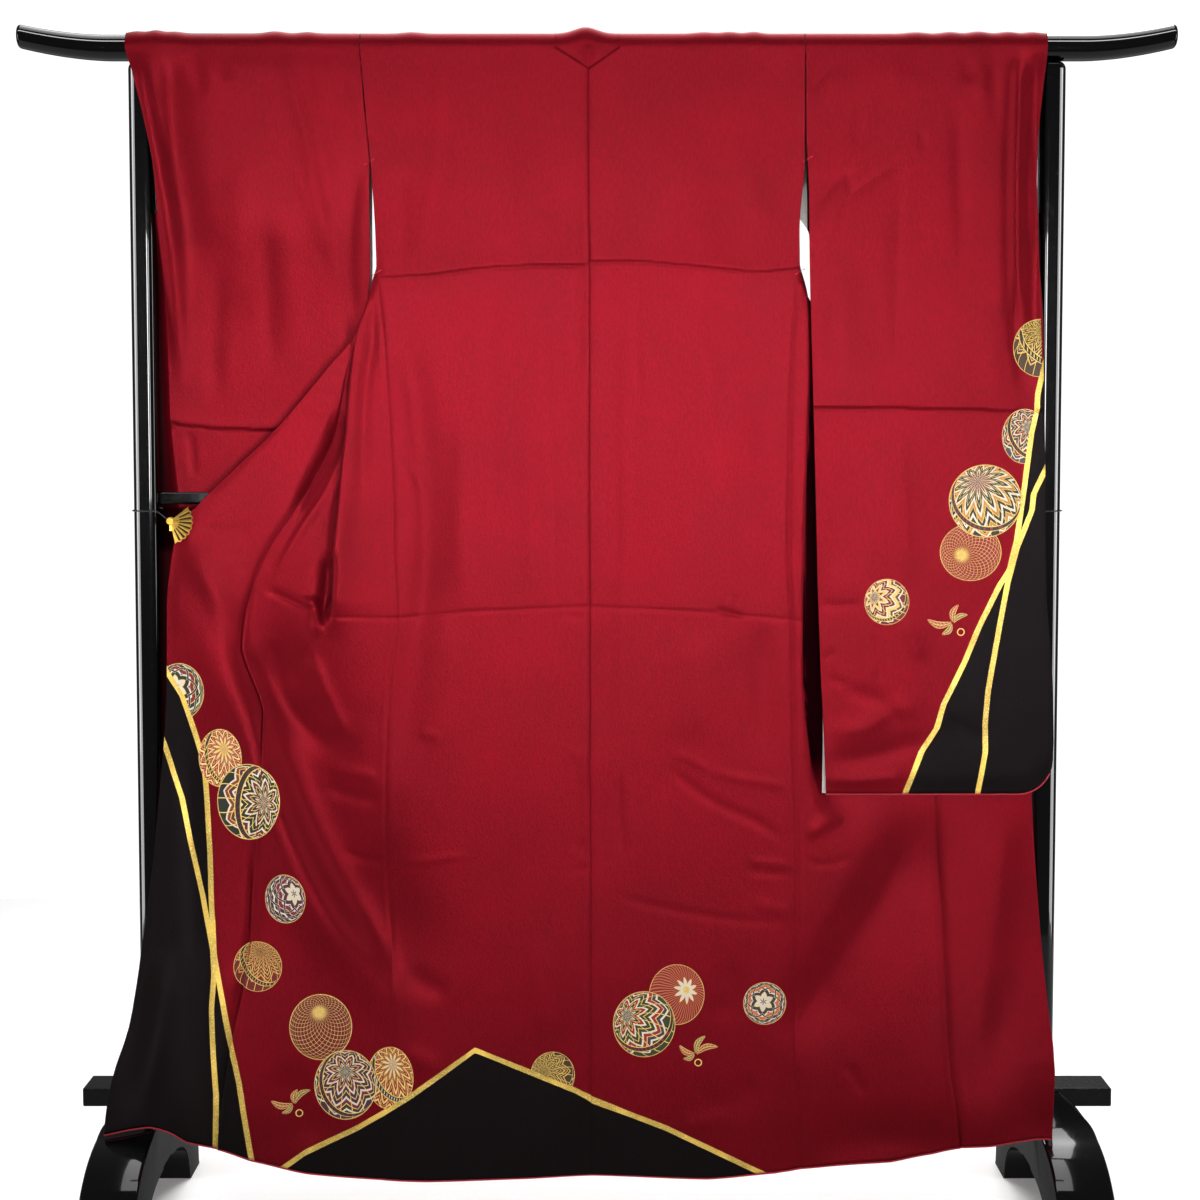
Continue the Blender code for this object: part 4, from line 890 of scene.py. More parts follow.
class Finish:
    """A material whose nodes are made by formulas."""

    def __init__(self, name, **constants):
        self.material = bpy.data.materials.new(name)
        self.material.use_nodes = True
        self.tree = self.material.node_tree
        self.surface = self.tree.nodes["Principled BSDF"]
        self.set(**constants)

    def feed(self, port, value):
        if isinstance(value, Socket):
            self.tree.links.new(value.port, port)
        else:
            port.default_value = value

    def node(self, kind, options=None, inputs=(), output=0):
        """A new node's output, with the node's options and inputs set."""
        made = self.tree.nodes.new(kind)
        for key, value in (options or {}).items():
            setattr(made, key, value)
        pairs = inputs.items() if isinstance(inputs, dict) else enumerate(inputs)
        for key, value in pairs:
            self.feed(made.inputs[key], value)
        return Socket(self, made.outputs[output])

    def set(self, **values):
        """Set or link the shader's sockets, named in lower case."""
        for name, value in values.items():
            label = name.replace("_", " ").title().replace("Ior", "IOR")
            self.feed(self.surface.inputs[label], value)

    def mix(self, share, first, second):
        """A colour between two others."""
        return self.node("ShaderNodeMix", {"data_type": "RGBA"}, {0: share, 6: first, 7: second}, 2)

    def place(self):
        return self.node("ShaderNodeTexCoord", output="Object")

    def split(self, vector):
        made = self.tree.nodes.new("ShaderNodeSeparateXYZ")
        self.feed(made.inputs[0], vector)
        return [Socket(self, port) for port in made.outputs]

    def motif(self):
        """The two places on a motif that its UV map holds."""
        return self.split(self.node("ShaderNodeUVMap", {"uv_map": "motif"}))[:2]

    def noise(self, scale, detail=3.0, stretch=None):
        """A grain of the given number of waves per metre."""
        where = self.place()
        if stretch:
            where = self.node("ShaderNodeVectorMath", {"operation": "MULTIPLY"}, (where, stretch))
        wanted = {"Vector": where, "Scale": scale, "Detail": detail}
        return self.node("ShaderNodeTexNoise", inputs=wanted)

    def step(self, low, high, value):
        """0 below low and 1 above high, with a soft edge between."""
        return self.node("ShaderNodeMapRange", {"interpolation_type": "SMOOTHSTEP"},
                         {"Value": value, "From Min": low, "From Max": high})

    def paint_shade(self, share):
        """Painted shade: plain dark cloth instead of the finish, where share is 1."""
        dark = self.node("ShaderNodeBsdfDiffuse", inputs={"Color": srgb(30, 3, 8)})
        shader = Socket(self, self.surface.outputs[0])
        both = self.node("ShaderNodeMixShader", inputs=(share, shader, dark))
        self.tree.links.new(both.port, self.tree.nodes["Material Output"].inputs["Surface"])

    def bump(self, height, distance, strength=1.0):
        wanted = {"Height": height, "Distance": distance, "Strength": strength}
        self.set(normal=self.node("ShaderNodeBump", inputs=wanted))


def settings():
    """The sizes and colours in the sidebar."""
    return bpy.context.scene.furisode


def tone(colour, share=1.0):
    """Red, green and blue as a shader's colour, darker by a share."""
    return tuple(value * share for value in colour) + (1.0,)


def silk(name):
    """Red silk crepe, with black fields and gold lines where the piece has them, and painted shade where its
    attribute asks for it.
    """
    look = settings()
    finish = Finish(name, sheen_weight=0.02, sheen_roughness=0.4, specular_ior_level=0.12)
    cloud = finish.noise(9.0, 4.0)
    pebbles = finish.noise(620.0, 2.0, (1.0, 1.0, 0.6))
    twists = finish.noise(1500.0, 1.0, (0.25, 1.0, 1.0))
    grain = pebbles * 0.7 + twists * 0.5
    streaks = finish.noise(330.0, 3.0, (1.0, 1.0, 0.35))
    shade = finish.step(0.3, 0.75, cloud * 0.35 + grain * 0.3 + streaks * 0.35)
    lines = finish.node("ShaderNodeAttribute", {"attribute_name": "lines"}, output="Vector")
    # The attribute's third part is the share of painted shade, where cloth lies deep behind other cloth
    field, second, painted_shade = finish.split(lines)
    red = finish.mix(shade, tone(look.silk, 0.66), tone(look.silk))
    black = finish.mix(shade, tone(look.field, 0.72), tone(look.field))
    colour = finish.mix(field > 0.0, red, black)
    patches = finish.step(0.35, 0.75, finish.noise(26.0, 3.0, (1.0, 1.0, 0.5)))
    gilt = finish.mix(patches, tone(look.gilt, 0.62), tone(look.gilt))
    flecks = finish.step(0.52, 0.66, finish.noise(700.0, 2.0))
    gilt = finish.mix(flecks * 0.5, gilt, (1.0, 0.9, 0.55, 1.0))
    wave = (finish.noise(60.0, 2.0) - 0.5) * 0.8
    nearest = abs(field + wave).maths("MINIMUM", abs(second + wave))
    half = look.line_width / MM / 2
    line = finish.step(half + 0.35, half - 0.35, nearest)
    rough = (0.4 + shade * 0.08) * (1 - line) + line * 0.38
    finish.set(base_color=finish.mix(line, colour, gilt), roughness=rough,
               metallic=look.satin * (1 - line * 0.2))
    finish.bump(grain, look.grain)
    # Painted shade: dark cloth over the finish in the deep gaps
    finish.paint_shade(painted_shade)
    return finish.material


def lining(name, coloured):
    """Plain silk lining. Its colour is worked out from its weave and its places."""
    finish = Finish(name, sheen_weight=0.15, specular_ior_level=0.3)
    weave = finish.noise(1100.0, 2.0, (0.4, 1.0, 1.0))
    across, _, height = finish.split(finish.place())
    finish.set(base_color=coloured(finish, weave, across, height), roughness=0.5 + weave * 0.1)
    finish.bump(weave, 0.00015)
    return finish.material


def body_lining(finish, weave, _, height):
    """Pale above, dyed red towards the hem."""
    pale = finish.mix(weave, srgb(206, 198, 190), srgb(232, 226, 218))
    dyed = finish.mix(weave, srgb(128, 16, 30), srgb(150, 24, 40))
    return finish.mix(finish.step(0.71, 0.715, height), dyed, pale)


def sleeve_lining(finish, weave, across, height):
    """Pale, with painted shade where the right sleeve lies beside the body."""
    # Painted shade: dark cloth on the lining in the gap beside the body
    finish.paint_shade((across > 0.3) * (across < 0.365) * finish.step(0.72, 0.76, height))
    return finish.mix(weave, srgb(168, 162, 158), srgb(198, 192, 186))


def lacquer(name="black_lacquer", gloss=0.09, coat=0.5):
    """Black lacquer: a deep gloss with a slight ripple and a little dust."""
    finish = Finish(name, coat_weight=coat, coat_roughness=0.03, specular_ior_level=0.1)
    ripple = finish.noise(26.0, 2.0)
    dust = finish.step(0.56, 0.8, finish.noise(160.0, 5.0))
    finish.set(base_color=finish.mix(dust * 0.5, srgb(2, 2, 3), srgb(8, 8, 9)),
               roughness=gloss + dust * 0.12 + ripple * 0.03)
    finish.bump(ripple, 0.0006, 0.35)
    return finish.material


def gilt_metal():
    """Gilt brass, a little worn, with painted shade in the slots between the fan's ribs."""
    finish = Finish("gilt_metal")
    wear = finish.noise(240.0, 4.0)
    x, _, z = finish.split(finish.place())
    across, rise = x - FAN_PIVOT[0] * MM, z - FAN_PIVOT[1] * MM
    reach = (across * across + rise * rise).maths("SQRT") * (1 / MM)
    turned = math.radians(FAN_FROM) - rise.maths("ARCTAN2", across)
    rib = turned * (FAN_RIBS / math.radians(FAN_OPEN))
    # Painted shade: the slots between the ribs are dark, less metallic and rougher
    slot = ((rib + 0.5).from_half() < 0.2) * (reach > RIB_FROM) * (reach < RIB_TO)
    slot = slot * (rib > 0.4) * (rib < FAN_RIBS - 0.4)
    gilt = finish.mix(wear, srgb(176, 132, 48), srgb(240, 206, 112))
    hub = finish.step(9.0, 6.0, reach)
    finish.set(base_color=finish.mix(slot, gilt, srgb(52, 32, 10)), metallic=1 - slot * 0.7,
               roughness=0.24 + wear * 0.18 + slot * 0.3 + hub * 0.25)
    finish.bump(wear, 0.0001)
    return finish.material


def thread(name, first, second):
    """Twisted thread in two tones."""
    finish = Finish(name, sheen_weight=0.2)
    x, y, z = finish.split(finish.place())
    twist = ((x + y + z) * 2600.0).wave()
    finish.set(base_color=finish.mix(twist, first, second), roughness=0.55 + twist * 0.15)
    finish.bump(twist, 0.0002)
    return finish.material


class Winding(Finish):
    """The dyed and embroidered winding of a thread ball, as it runs round a sphere."""

    def __init__(self, name, pole, palette):
        super().__init__(name, sheen_weight=0.1, specular_ior_level=0.4)
        self.palette = palette
        u, v = self.motif()
        self.flat = u * u + v * v
        rise = (1 - self.flat).maths("MAXIMUM", 0.0).maths("SQRT")
        self.spot = self.node("ShaderNodeCombineXYZ", inputs=(u, v, rise))
        self.top = Vector((*pole, math.sqrt(1 - pole[0] ** 2 - pole[1] ** 2)))
        self.side = self.top.cross(Vector((0.3, 1.0, 0.1))).normalized()
        self.front = self.top.cross(self.side)
        self.across, along = self.dot(self.side), self.dot(self.front)
        self.down = self.dot(self.top).maths("ARCCOSINE")
        self.turn = along.maths("ARCTAN2", self.across)
        self.gold = self.mix(self.noise(300.0, 2.0), *WORN_GOLD)

    def dot(self, axis):
        """How far a place on the sphere lies along an axis."""
        kind, product = "ShaderNodeVectorMath", {"operation": "DOT_PRODUCT"}
        return self.node(kind, product, (self.spot, tuple(axis)), "Value")

    def fold(self, count):
        """A zigzag round the pole, from 0 to 1 and back."""
        return self.turn.maths("PINGPONG", math.pi / count) * (count / math.pi)

    def net(self):
        """Gold threads that cross one another."""
        ways = [(self.turn * (14 / math.pi) + self.down * slant).from_half() for slant in (5.2, -5.2)]
        colour = self.mix(ways[0].maths("MINIMUM", ways[1]) < 0.05, self.palette[GROUND], self.gold)
        return self.mix(self.step(0.34, 0.1, self.down), colour, self.gold)

    def rays(self):
        """Fine needles round a ten-pointed flower."""
        needles = (self.turn * (26 / math.pi) + self.noise(60.0, 1.0) * 1.5).from_half()
        colour = self.mix(needles < 0.2, self.palette[GROUND], self.palette[ACCENT])
        flower = self.down - (1 - self.fold(10)) * 0.26
        colour = self.mix(flower < 0.2, colour, self.palette[LIGHT])
        colour = self.mix(abs(flower - 0.21) < 0.02, colour, self.gold)
        return self.mix(self.down < 0.13, colour, self.gold)

    def zigzags(self, design):
        """Zigzag bands round the pole, edged in turn with gold and light thread."""
        count, deep, width, edge, tones = DESIGNS[design]
        zig = self.down - self.fold(count) * deep
        colour = self.palette[GROUND]
        edges = (0.022, self.gold), (edge, self.palette[LIGHT])
        for k, place in enumerate(tones):
            low = k * width - 0.25
            half, line = edges[k % 2]
            colour = self.mix(zig > low, colour, self.palette[place])
            colour = self.mix(abs(zig - low) < half, colour, line)
        return self.ribs(colour) if design == "flower" else self.girdle(colour, count, zig)

    def ribs(self, colour):
        """Curved bands outside the flower."""
        bands, outside = (self.down * 2.6 + self.fold(6) * 0.9).from_half(), self.down > 0.55
        colour = self.mix((bands < 0.12) * outside, colour, self.palette[GROUND])
        return self.mix((bands > 0.12) * (bands < 0.17) * outside, colour, self.palette[LIGHT])

    def girdle(self, colour, count, zig):
        """Gold veins, and a dark girdle with beads between gold edges."""
        veins = abs(self.fold(count) - 0.5) < 0.04
        colour = self.mix(veins * (zig > 0.0), colour, self.gold)
        axis = self.side * 0.25 - self.top * 0.62 + self.front * 0.1
        off = abs(self.dot(axis.normalized()) + 0.28)
        colour = self.mix(off < 0.085, colour, srgb(44, 36, 30))
        beads = (self.across * 9.0).from_half() < 0.16
        colour = self.mix(beads * (off < 0.05), colour, self.palette[CENTRE])
        return self.mix((off > 0.075) * (off < 0.11), colour, self.gold)


def ball_finish(name, pole, design, palette):
    """A thread ball's material."""
    ball = Winding(name, pole, PALETTES[palette])
    plain = {"net": ball.net, "rays": ball.rays}
    colour = plain[design]() if design in plain else ball.zigzags(design)
    colour = ball.mix(ball.step(0.94, 0.96, ball.flat), colour, ball.gold)
    strands = (ball.turn * 90.0).maths("SINE") * 0.5 + ball.noise(900.0, 2.0)
    ball.set(base_color=ball.mix(strands * 0.12, colour, srgb(60, 30, 24)),
             roughness=0.42 + strands * 0.12)
    ball.bump(strands, 0.00012)
    return ball.material


def leaf_finish(name, fill):
    """A leaf with a gold outline and vein."""
    finish = Finish(name, sheen_weight=0.1)
    along, across = finish.motif()
    gold = finish.mix(finish.noise(400.0), srgb(196, 158, 76), srgb(240, 214, 136))
    off = abs(across)
    ribs = (along * 7.0 - off * 1.2).from_half() < 0.08
    colour = finish.mix((off < 0.1).maths("MAXIMUM", ribs * 0.8), fill, gold)
    finish.set(base_color=finish.mix(off > 0.72, colour, gold),
               roughness=0.45 + finish.noise(500.0) * 0.1)
    finish.bump(finish.noise(900.0), 0.0001)
    return finish.material


def stage_finish():
    """A pale matt floor."""
    finish = Finish("pale_floor", specular_ior_level=0.1)
    cloud = finish.noise(3.0, 3.0)
    finish.set(base_color=finish.mix(cloud, tone((0.93, 0.93, 0.93)), tone((0.96, 0.96, 0.96))),
               roughness=0.85 + cloud * 0.1)
    return finish.material


def signed(line, keys, values):
    """Distance of values beyond a line, measured square to the line."""
    at, level = (np.array(part, float) for part in zip(*line))
    steep = np.interp(keys, (at[1:] + at[:-1]) / 2, np.diff(level) / np.diff(at))
    return (np.interp(keys, at, level) - values) / np.hypot(1, steep)


def garment_lines(x, z):
    """The black field's edge and the second gold line over the body and the overlaps."""
    overlap = x < OVERLAP_FIELD_TO
    field = np.where(x > BACK_FIELD_TO, -FAR_OFF, signed(FIELD_BACK, x, z))
    field = np.where(overlap, signed(FIELD_LEFT, z, x), field)
    field = np.where(z > FIELD_TOP, -FAR_OFF, field)
    return field, np.where(overlap & (z < LINE_LEFT_TOP), signed(LINE_LEFT, z, x), -FAR_OFF)


def sleeve_lines(x, z):
    """The black field's edge and the second gold line on the right sleeve."""
    field = np.where(z < FIELD_SLEEVE_TOP, -signed(FIELD_SLEEVE, z, x), -FAR_OFF)
    return field, np.where(z < LINE_SLEEVE_TOP, signed(LINE_SLEEVE, z, x), FAR_OFF)


def side_point(side, z):
    """A body length's side seam on the back: x and depth."""
    x, depth = (1, 4) if side < 0 else (3, 6)
    return track(BACK, z, x), track(BACK, z, depth)


def stations_at(side, rows, z):
    """A front panel's stations at heights, as a list of x and depth arrays."""
    x, y = side_point(side, z)
    y = np.where(z > SIDE_SEAM_TOP, track(ARMHOLE, z, 1), y)
    found = [np.stack([x, y], -1)]
    for k in range(1, 5):
        across = [(row[0], row[k][0], row[k][1]) for row in rows]
        found.append(np.stack([track(across, z, 1), track(across, z, 2)], -1))
    return found


def section(stations, counts):
    """Smooth curves through the stations of every row, without loops."""
    gaps = [np.maximum(1.0, np.linalg.norm(b - a, axis=-1, keepdims=True) ** 0.5)
            for a, b in zip(stations, stations[1:])]
    turns = [None]
    for k in range(1, len(stations) - 1):
        back, ahead = stations[k] - stations[k - 1], stations[k + 1] - stations[k]
        turns.append(back / gaps[k - 1] - (back + ahead) / (gaps[k - 1] + gaps[k]) + ahead / gaps[k])
    turns.append(None)
    found = [stations[0]]
    for k, (gap, count) in enumerate(zip(gaps, counts)):
        start, end = stations[k], stations[k + 1]
        step = (end - start) / gap
        leave = (step if turns[k] is None else turns[k]) * gap
        arrive = (step if turns[k + 1] is None else turns[k + 1]) * gap
        for j in range(1, count + 1):
            t = j / count
            found.append(start * (2 * t ** 3 - 3 * t ** 2 + 1) + leave * (t ** 3 - 2 * t ** 2 + t)
                         + end * (3 * t ** 2 - 2 * t ** 3) + arrive * (t ** 3 - t ** 2))
    return np.stack(found, 1)


def seam_roll(off):
    """The groove of a pressed seam with a soft ridge beside it."""
    return SEAM_ROLL * np.exp(-off / SEAM_ROLL_WIDE) + SEAM_PRESS * np.exp(
        -(((off - SEAM_PRESS_AT) / SEAM_PRESS_WIDE) ** 2))


def column(values):
    """One value for each row of a grid."""
    return values[:, None]


def body_mesh(name, side, rows, creases):
    """One length of cloth: back hem, up over the bar, and down the front."""
    z = rows_of(BODY_ROWS)
    neck = NECK_LEFT if side < 0 else NECK_RIGHT
    across = shares(BACK_COLUMNS, 290.0)
    wide = len(across)
    beyond = np.array(BEYOND_NECK)
    outer, outer_y = (column(part) for part in side_point(side, z))
    centre = column(track(BACK, z, 2) + (TUCKED if side < 0 else 0))
    x = np.concatenate([outer + (neck - outer) * across, neck + (centre - neck) * beyond], 1)
    top = np.concatenate([np.zeros(wide), beyond * (BAR_Z - NECK_LOW)])
    height = to_hem(x, column(z) - top * column(smooth(NECK_EASE_FROM, BAR_Z, z)))
    reach = np.abs(x - outer) / np.abs(centre - outer)
    depth = outer_y * (1 - reach) + column(track(BACK, z, 5)) * reach
    sewn_up = column(smooth(SIDE_SEAM_TOP + ARMHOLE_EASE, SIDE_SEAM_TOP, z))
    bar_ease = column(smooth(BAR_Z, BAR_Z - BAR_EASE, z))
    down = column(smooth(SIDE_SEAM_TOP + SEAM_TOP_EASE, SIDE_SEAM_TOP - SEAM_TOP_EASE, z))

    def held(x):
        """How freely creases form beside the armhole and the bar."""
        return np.maximum(sewn_up, smooth(0, SEAM_EASE, np.abs(x - outer))) * bar_ease

    from_centre = np.abs(x - centre)
    depth += crease_depth(x, height, creases) * held(x)
    depth += tuck_depth(x, height, TUCKS_BACK)
    depth += seam_roll(from_centre)
    depth += CENTRE_DEEP * (side < 0) * smooth(2 * TUCKED, 0, from_centre)
    depth += seam_roll(np.abs(x - outer)) * down

    counts = (*FRONT_COLUMNS, wide - 1 - sum(FRONT_COLUMNS))
    points = section(stations_at(side, rows, z), counts)
    front_x, front_y = points[..., 0], points[..., 1]
    front_z = to_hem(front_x, column(z) + 0 * front_x)
    front_y = front_y + crease_depth(front_x, front_z, creases) * held(front_x)
    front_y = front_y + tuck_depth(front_x, front_z, TUCKS_BACK[2:]) * held(front_x)
    front_y = front_y + seam_roll(np.abs(front_x - outer)) * down
    ledge = SEAM_LEDGE * smooth(*LEDGE_WIDE, np.abs(front_x - front_x[:, -1:]))
    front_y = front_y - ledge * smooth(SIDE_SEAM_TOP, SIDE_SEAM_TOP - LEDGE_EASE, front_z)
    sewn = z <= SIDE_SEAM_TOP
    for front, back in ((front_x, x), (front_y, depth), (front_z, height)):
        front[sewn, 0] = back[sewn, 0]

    bar_x, bar_y, bar_z = bar_grid(x[:1, :wide])

    def widen(part):
        return np.concatenate([part, np.repeat(part[:, -1:], len(beyond), 1)], 1)

    grids = [np.concatenate([back[::-1], widen(bar), widen(front)]) for back, bar, front in
             zip((x, depth, height), (bar_x, bar_y, bar_z), (front_x, front_y, front_z))]
    present = np.ones_like(grids[0], bool)
    present[len(z):, wide:] = False
    # Painted shade in the pleat of the front panels
    shade = np.zeros_like(grids[0])
    shade[-len(z):] = widen(painted_pleat_shade(side, rows, z, front_x))
    lines = garment_lines(grids[0], grids[2])
    return sheet_mesh(name, *grids, present=present, lines=lines, shade=shade)


def bar_grid(x):
    """The stretch of cloth over the bar between its near and its far row."""
    turns = math.pi * np.arange(1, BAR_TURNS) / BAR_TURNS
    x = np.repeat(x, len(turns), 0)
    return (x, *over_bar(x, column(turns)))


def painted_pleat_shade(side, rows, z, x):
    """Painted deep shade in the pleat beside the side seam."""
    pleat = column(track([(row[0], row[1][0]) for row in rows], z, 1))
    if side > 0:
        painted_shade = smooth(0.5, 3, x - pleat) * smooth(*PLEAT_RIGHT_TO_X, x)
        return painted_shade * column(between(z, *PLEAT_RIGHT_Z))
    hidden = (np.arange(x.shape[1]) > HIDDEN_COLUMNS) * (x < pleat)
    painted_shade = hidden * smooth(PLEAT_LEFT_WIDE, 2, pleat - x)
    return PLEAT_LEFT_SHADE * painted_shade * column(between(z, *PLEAT_LEFT_Z))


def okumi_grid(side, rows, edge, creases):
    """Points of the overlap panel between the front panel and the front edge."""
    top = edge[0][0] - OKUMI_INSET
    z = rows_of(BODY_ROWS)
    z = np.concatenate([[top], z[z < top - 2]])
    seam = stations_at(side, rows, z)[4]
    share = shares(OKUMI_COLUMNS, 150.0)
    start_x = seam[:, :1] - side * TUCKED
    x = start_x + (column(track(edge, z, 1)) - start_x) * share
    y = seam[:, 1:] + (column(track(edge, z, 2)) - seam[:, 1:]) * share ** OKUMI_BOW
    height = to_hem(x, column(z) + 0 * x)
    y = y + TUCKED_DEEP * smooth(0.1, 0.0, share) + OKUMI_BEHIND
    y = y + crease_depth(x, height, creases) * (1 - smooth(0.85, 1.0, share))
    return x, y + tuck_depth(x, height, TUCKS_BACK[2:]), height


def okumi_mesh(name, side, rows, edge, creases):
    """The overlap panel."""
    x, y, height = okumi_grid(side, rows, edge, creases)
    return sheet_mesh(name, x, y, height, lines=garment_lines(x, height))


def sleeve_bottom(x, side, cuff):
    """Height of a sleeve's lower edge, with its round corner at the cuff."""
    past = np.maximum(0.0, side * (x - cuff) + SLEEVE_CORNER)
    return SLEEVE_BOTTOM + SLEEVE_CORNER - np.sqrt(SLEEVE_CORNER ** 2 - past ** 2)


def sleeve_mesh(name, side, rows, creases, tucks, lines):
    """A sleeve over the bar: open at the cuff and the body side, closed below."""
    share = shares(SLEEVE_COLUMNS, 320.0)
    down = (BAR_Z - rows_of(SLEEVE_ROWS)) / (BAR_Z - SLEEVE_BOTTOM)
    body, cuff = (track(rows, SLEEVE_BOTTOM, k) for k in (1, 2))
    low = sleeve_bottom(body + (cuff - body) * share, side, cuff)
    z = BAR_Z + (low - BAR_Z) * column(down)
    x = track(rows, z, 1) * (1 - share) + track(rows, z, 2) * share
    near, far = track(rows, z, 3), track(rows, z, 4)
    hollow = far - near
    pinch = smooth(low + BOTTOM_EASE, low, z) * BOTTOM_PINCH * hollow
    bend = crease_depth(x, z, creases) * smooth(BAR_Z, BAR_Z - BAR_EASE, z)
    bend = np.where(bend > 0, bend * smooth(*POST_CLEAR, POST_INNER - np.abs(x)), bend)
    near = near + pinch + np.minimum(bend, hollow - LEAST_HOLLOW) + tuck_depth(x, z, tucks)
    far = far - pinch + np.minimum(bend * FAR_SHARE, FAR_MOST)
    far_x = x + track(rows, z, 5) * (1 - share) ** FAR_EASE + track(rows, z, 6) * share ** FAR_EASE
    grids = [np.concatenate([front[::-1], bar, back]) for front, bar, back in
             zip((x, near, z), bar_grid(x[:1]), (far_x, far, z))]
    last, count, total = x.shape[1] - 1, len(down), len(grids[0])
    cuff_seam = [((k, last), (k + 1, last), (total - 2 - k, last), (total - 1 - k, last))
                 for k in range(count) if grids[2][k + 1, last] < BAR_Z - CUFF_LENGTH]
    # Painted shade: dark cloth on the far layer's last columns at the cuff, and on the left sleeve beside
    # the panel's edge and below the rail
    shade = np.zeros_like(grids[0])
    shade[-count:, -CUFF_SHADE_COLUMNS:] = 1.0
    if side < 0:
        shade[:count] = painted_panel_shade(x, z)[::-1]
    lines = lines(grids[0], grids[2]) if lines else (-FAR_OFF, FAR_OFF)
    return sheet_mesh(name, *grids, lines=lines, shade=shade, around=True, extra=cuff_seam)


def painted_panel_shade(x, z):
    """Painted shade on the left sleeve beside the front panel's edge and below the rail."""
    beside = track(EDGE_LEFT, z, 1) * EDGE_NEARER - x
    along_edge = EDGE_SHADE * smooth(14, 3, beside) * smooth(-40, -20, beside)
    below_rail = between(z, *RAIL_SHADE_Z) * (x < RAIL_SHADE_TO_X)
    return np.maximum(along_edge * between(z, *EDGE_SHADE_Z), below_rail)


def collar_neck_mesh(columns=26, rows=26):
    """The collar behind the neck: it fills the opening, crosses the bar and stands up."""
    at, high, wide = COLLAR_STAND
    share = np.linspace(0, 1, columns + 1)
    x = NECK_LEFT + COLLAR_INSET + (NECK_RIGHT - NECK_LEFT - 2 * COLLAR_INSET) * share
    centre = float(track(BACK, NECK_LOW, 2))
    reach = (x - centre) / (np.where(x < centre, NECK_LEFT, NECK_RIGHT) - centre)
    low = np.minimum(NECK_LOW + (BAR_Z - NECK_LOW) * reach - 2.0, BAR_Z - 0.8)
    places = []
    for k in range(rows + 1):
        up = k / rows
        if up < COLLAR_BELOW:
            z = low + (BAR_Z - low) * up / COLLAR_BELOW
            bulge = COLLAR_BULGE * np.exp(-(((x - centre) / COLLAR_BULGE_WIDE) ** 2))
            y = -CLOTH_RADIUS - COLLAR_SLOPE * (BAR_Z - z) + COLLAR_UNDER - bulge
        else:
            turn = (up - COLLAR_BELOW) / (1 - COLLAR_BELOW) * math.pi * COLLAR_WRAP
            radius = CLOTH_RADIUS + high * np.exp(-(((x - at) / wide) ** 2)) * math.sin(turn) ** 2
            y = -radius * math.cos(turn) + COLLAR_UNDER * math.cos(turn / 2) ** 4
            z = BAR_Z + radius * math.sin(turn)
        places.append((x, y, z))
    return sheet_mesh("collar_neck", *(np.stack(part) for part in zip(*places)))


def collar_tail_mesh(name, side, rows, edge, count=120):
    """The collar from the neck down to the clip, folded behind the panel's edge."""
    z = TAIL_TOP + (TAIL_LOW - TAIL_TOP) * np.linspace(0, 1, count + 1)
    seam = stations_at(side, rows, z)[4]
    above = z > edge[0][0]
    x = column(np.where(above, seam[:, 0], track(edge, z, 1)))
    y = column(np.where(above, seam[:, 1], track(edge, z, 2)))
    inward = TAIL_INSET + TAIL_WIDE * np.linspace(0, 1, 9)
    return sheet_mesh(name, x - side * inward * TAIL_ACROSS, y + TAIL_BEHIND + 0 * inward,
                      column(z) - inward * TAIL_DOWN)


def tube_mesh(name, rings):
    """A closed round solid through rings of points in millimetres."""
    shape = bmesh.new()
    made = [[shape.verts.new(Vector(point) * MM) for point in ring] for ring in rings]
    count = len(made[0])
    for ring, other in zip(made, made[1:]):
        for k in range(count):
            shape.faces.new((ring[k], ring[(k + 1) % count], other[(k + 1) % count], other[k]))
    shape.faces.new(made[0])
    shape.faces.new(made[-1])
    bmesh.ops.recalc_face_normals(shape, faces=shape.faces)
    mesh = kept(shape, bpy.data.meshes.new(name))
    mesh.set_sharp_from_angle(angle=math.radians(40))
    return mesh


def top_bar_mesh(sides=72):
    """The round top bar, whose ends sweep up and close in a soft edge."""
    run = np.linspace(BAR_RISE_FROM, BAR_HALF - BAR_END_ROUND, 26)
    ends = [BAR_HALF - BAR_END_ROUND * (1 - math.sin(k * math.pi / 12)) for k in range(1, 7)]
    half = list(run) + ends
    rings = []
    for x in [-value for value in half[::-1]] + half:
        share = max(0.0, (abs(x) - BAR_RISE_FROM) / (BAR_HALF - BAR_RISE_FROM))
        middle = BAR_Z + BAR_RISE * share ** BAR_BEND
        past = max(0.0, abs(x) - BAR_HALF + BAR_END_ROUND)
        radius = BAR_RADIUS * (1 + (BAR_TIP_SCALE - 1) * share)
        radius -= BAR_END_ROUND - math.sqrt(max(0.0, BAR_END_ROUND ** 2 - past ** 2))
        turns = [2 * math.pi * k / sides for k in range(sides)]
        rings.append([(x, radius * math.cos(t), middle + radius * math.sin(t)) for t in turns])
    return tube_mesh("top_bar_lacquer", rings)


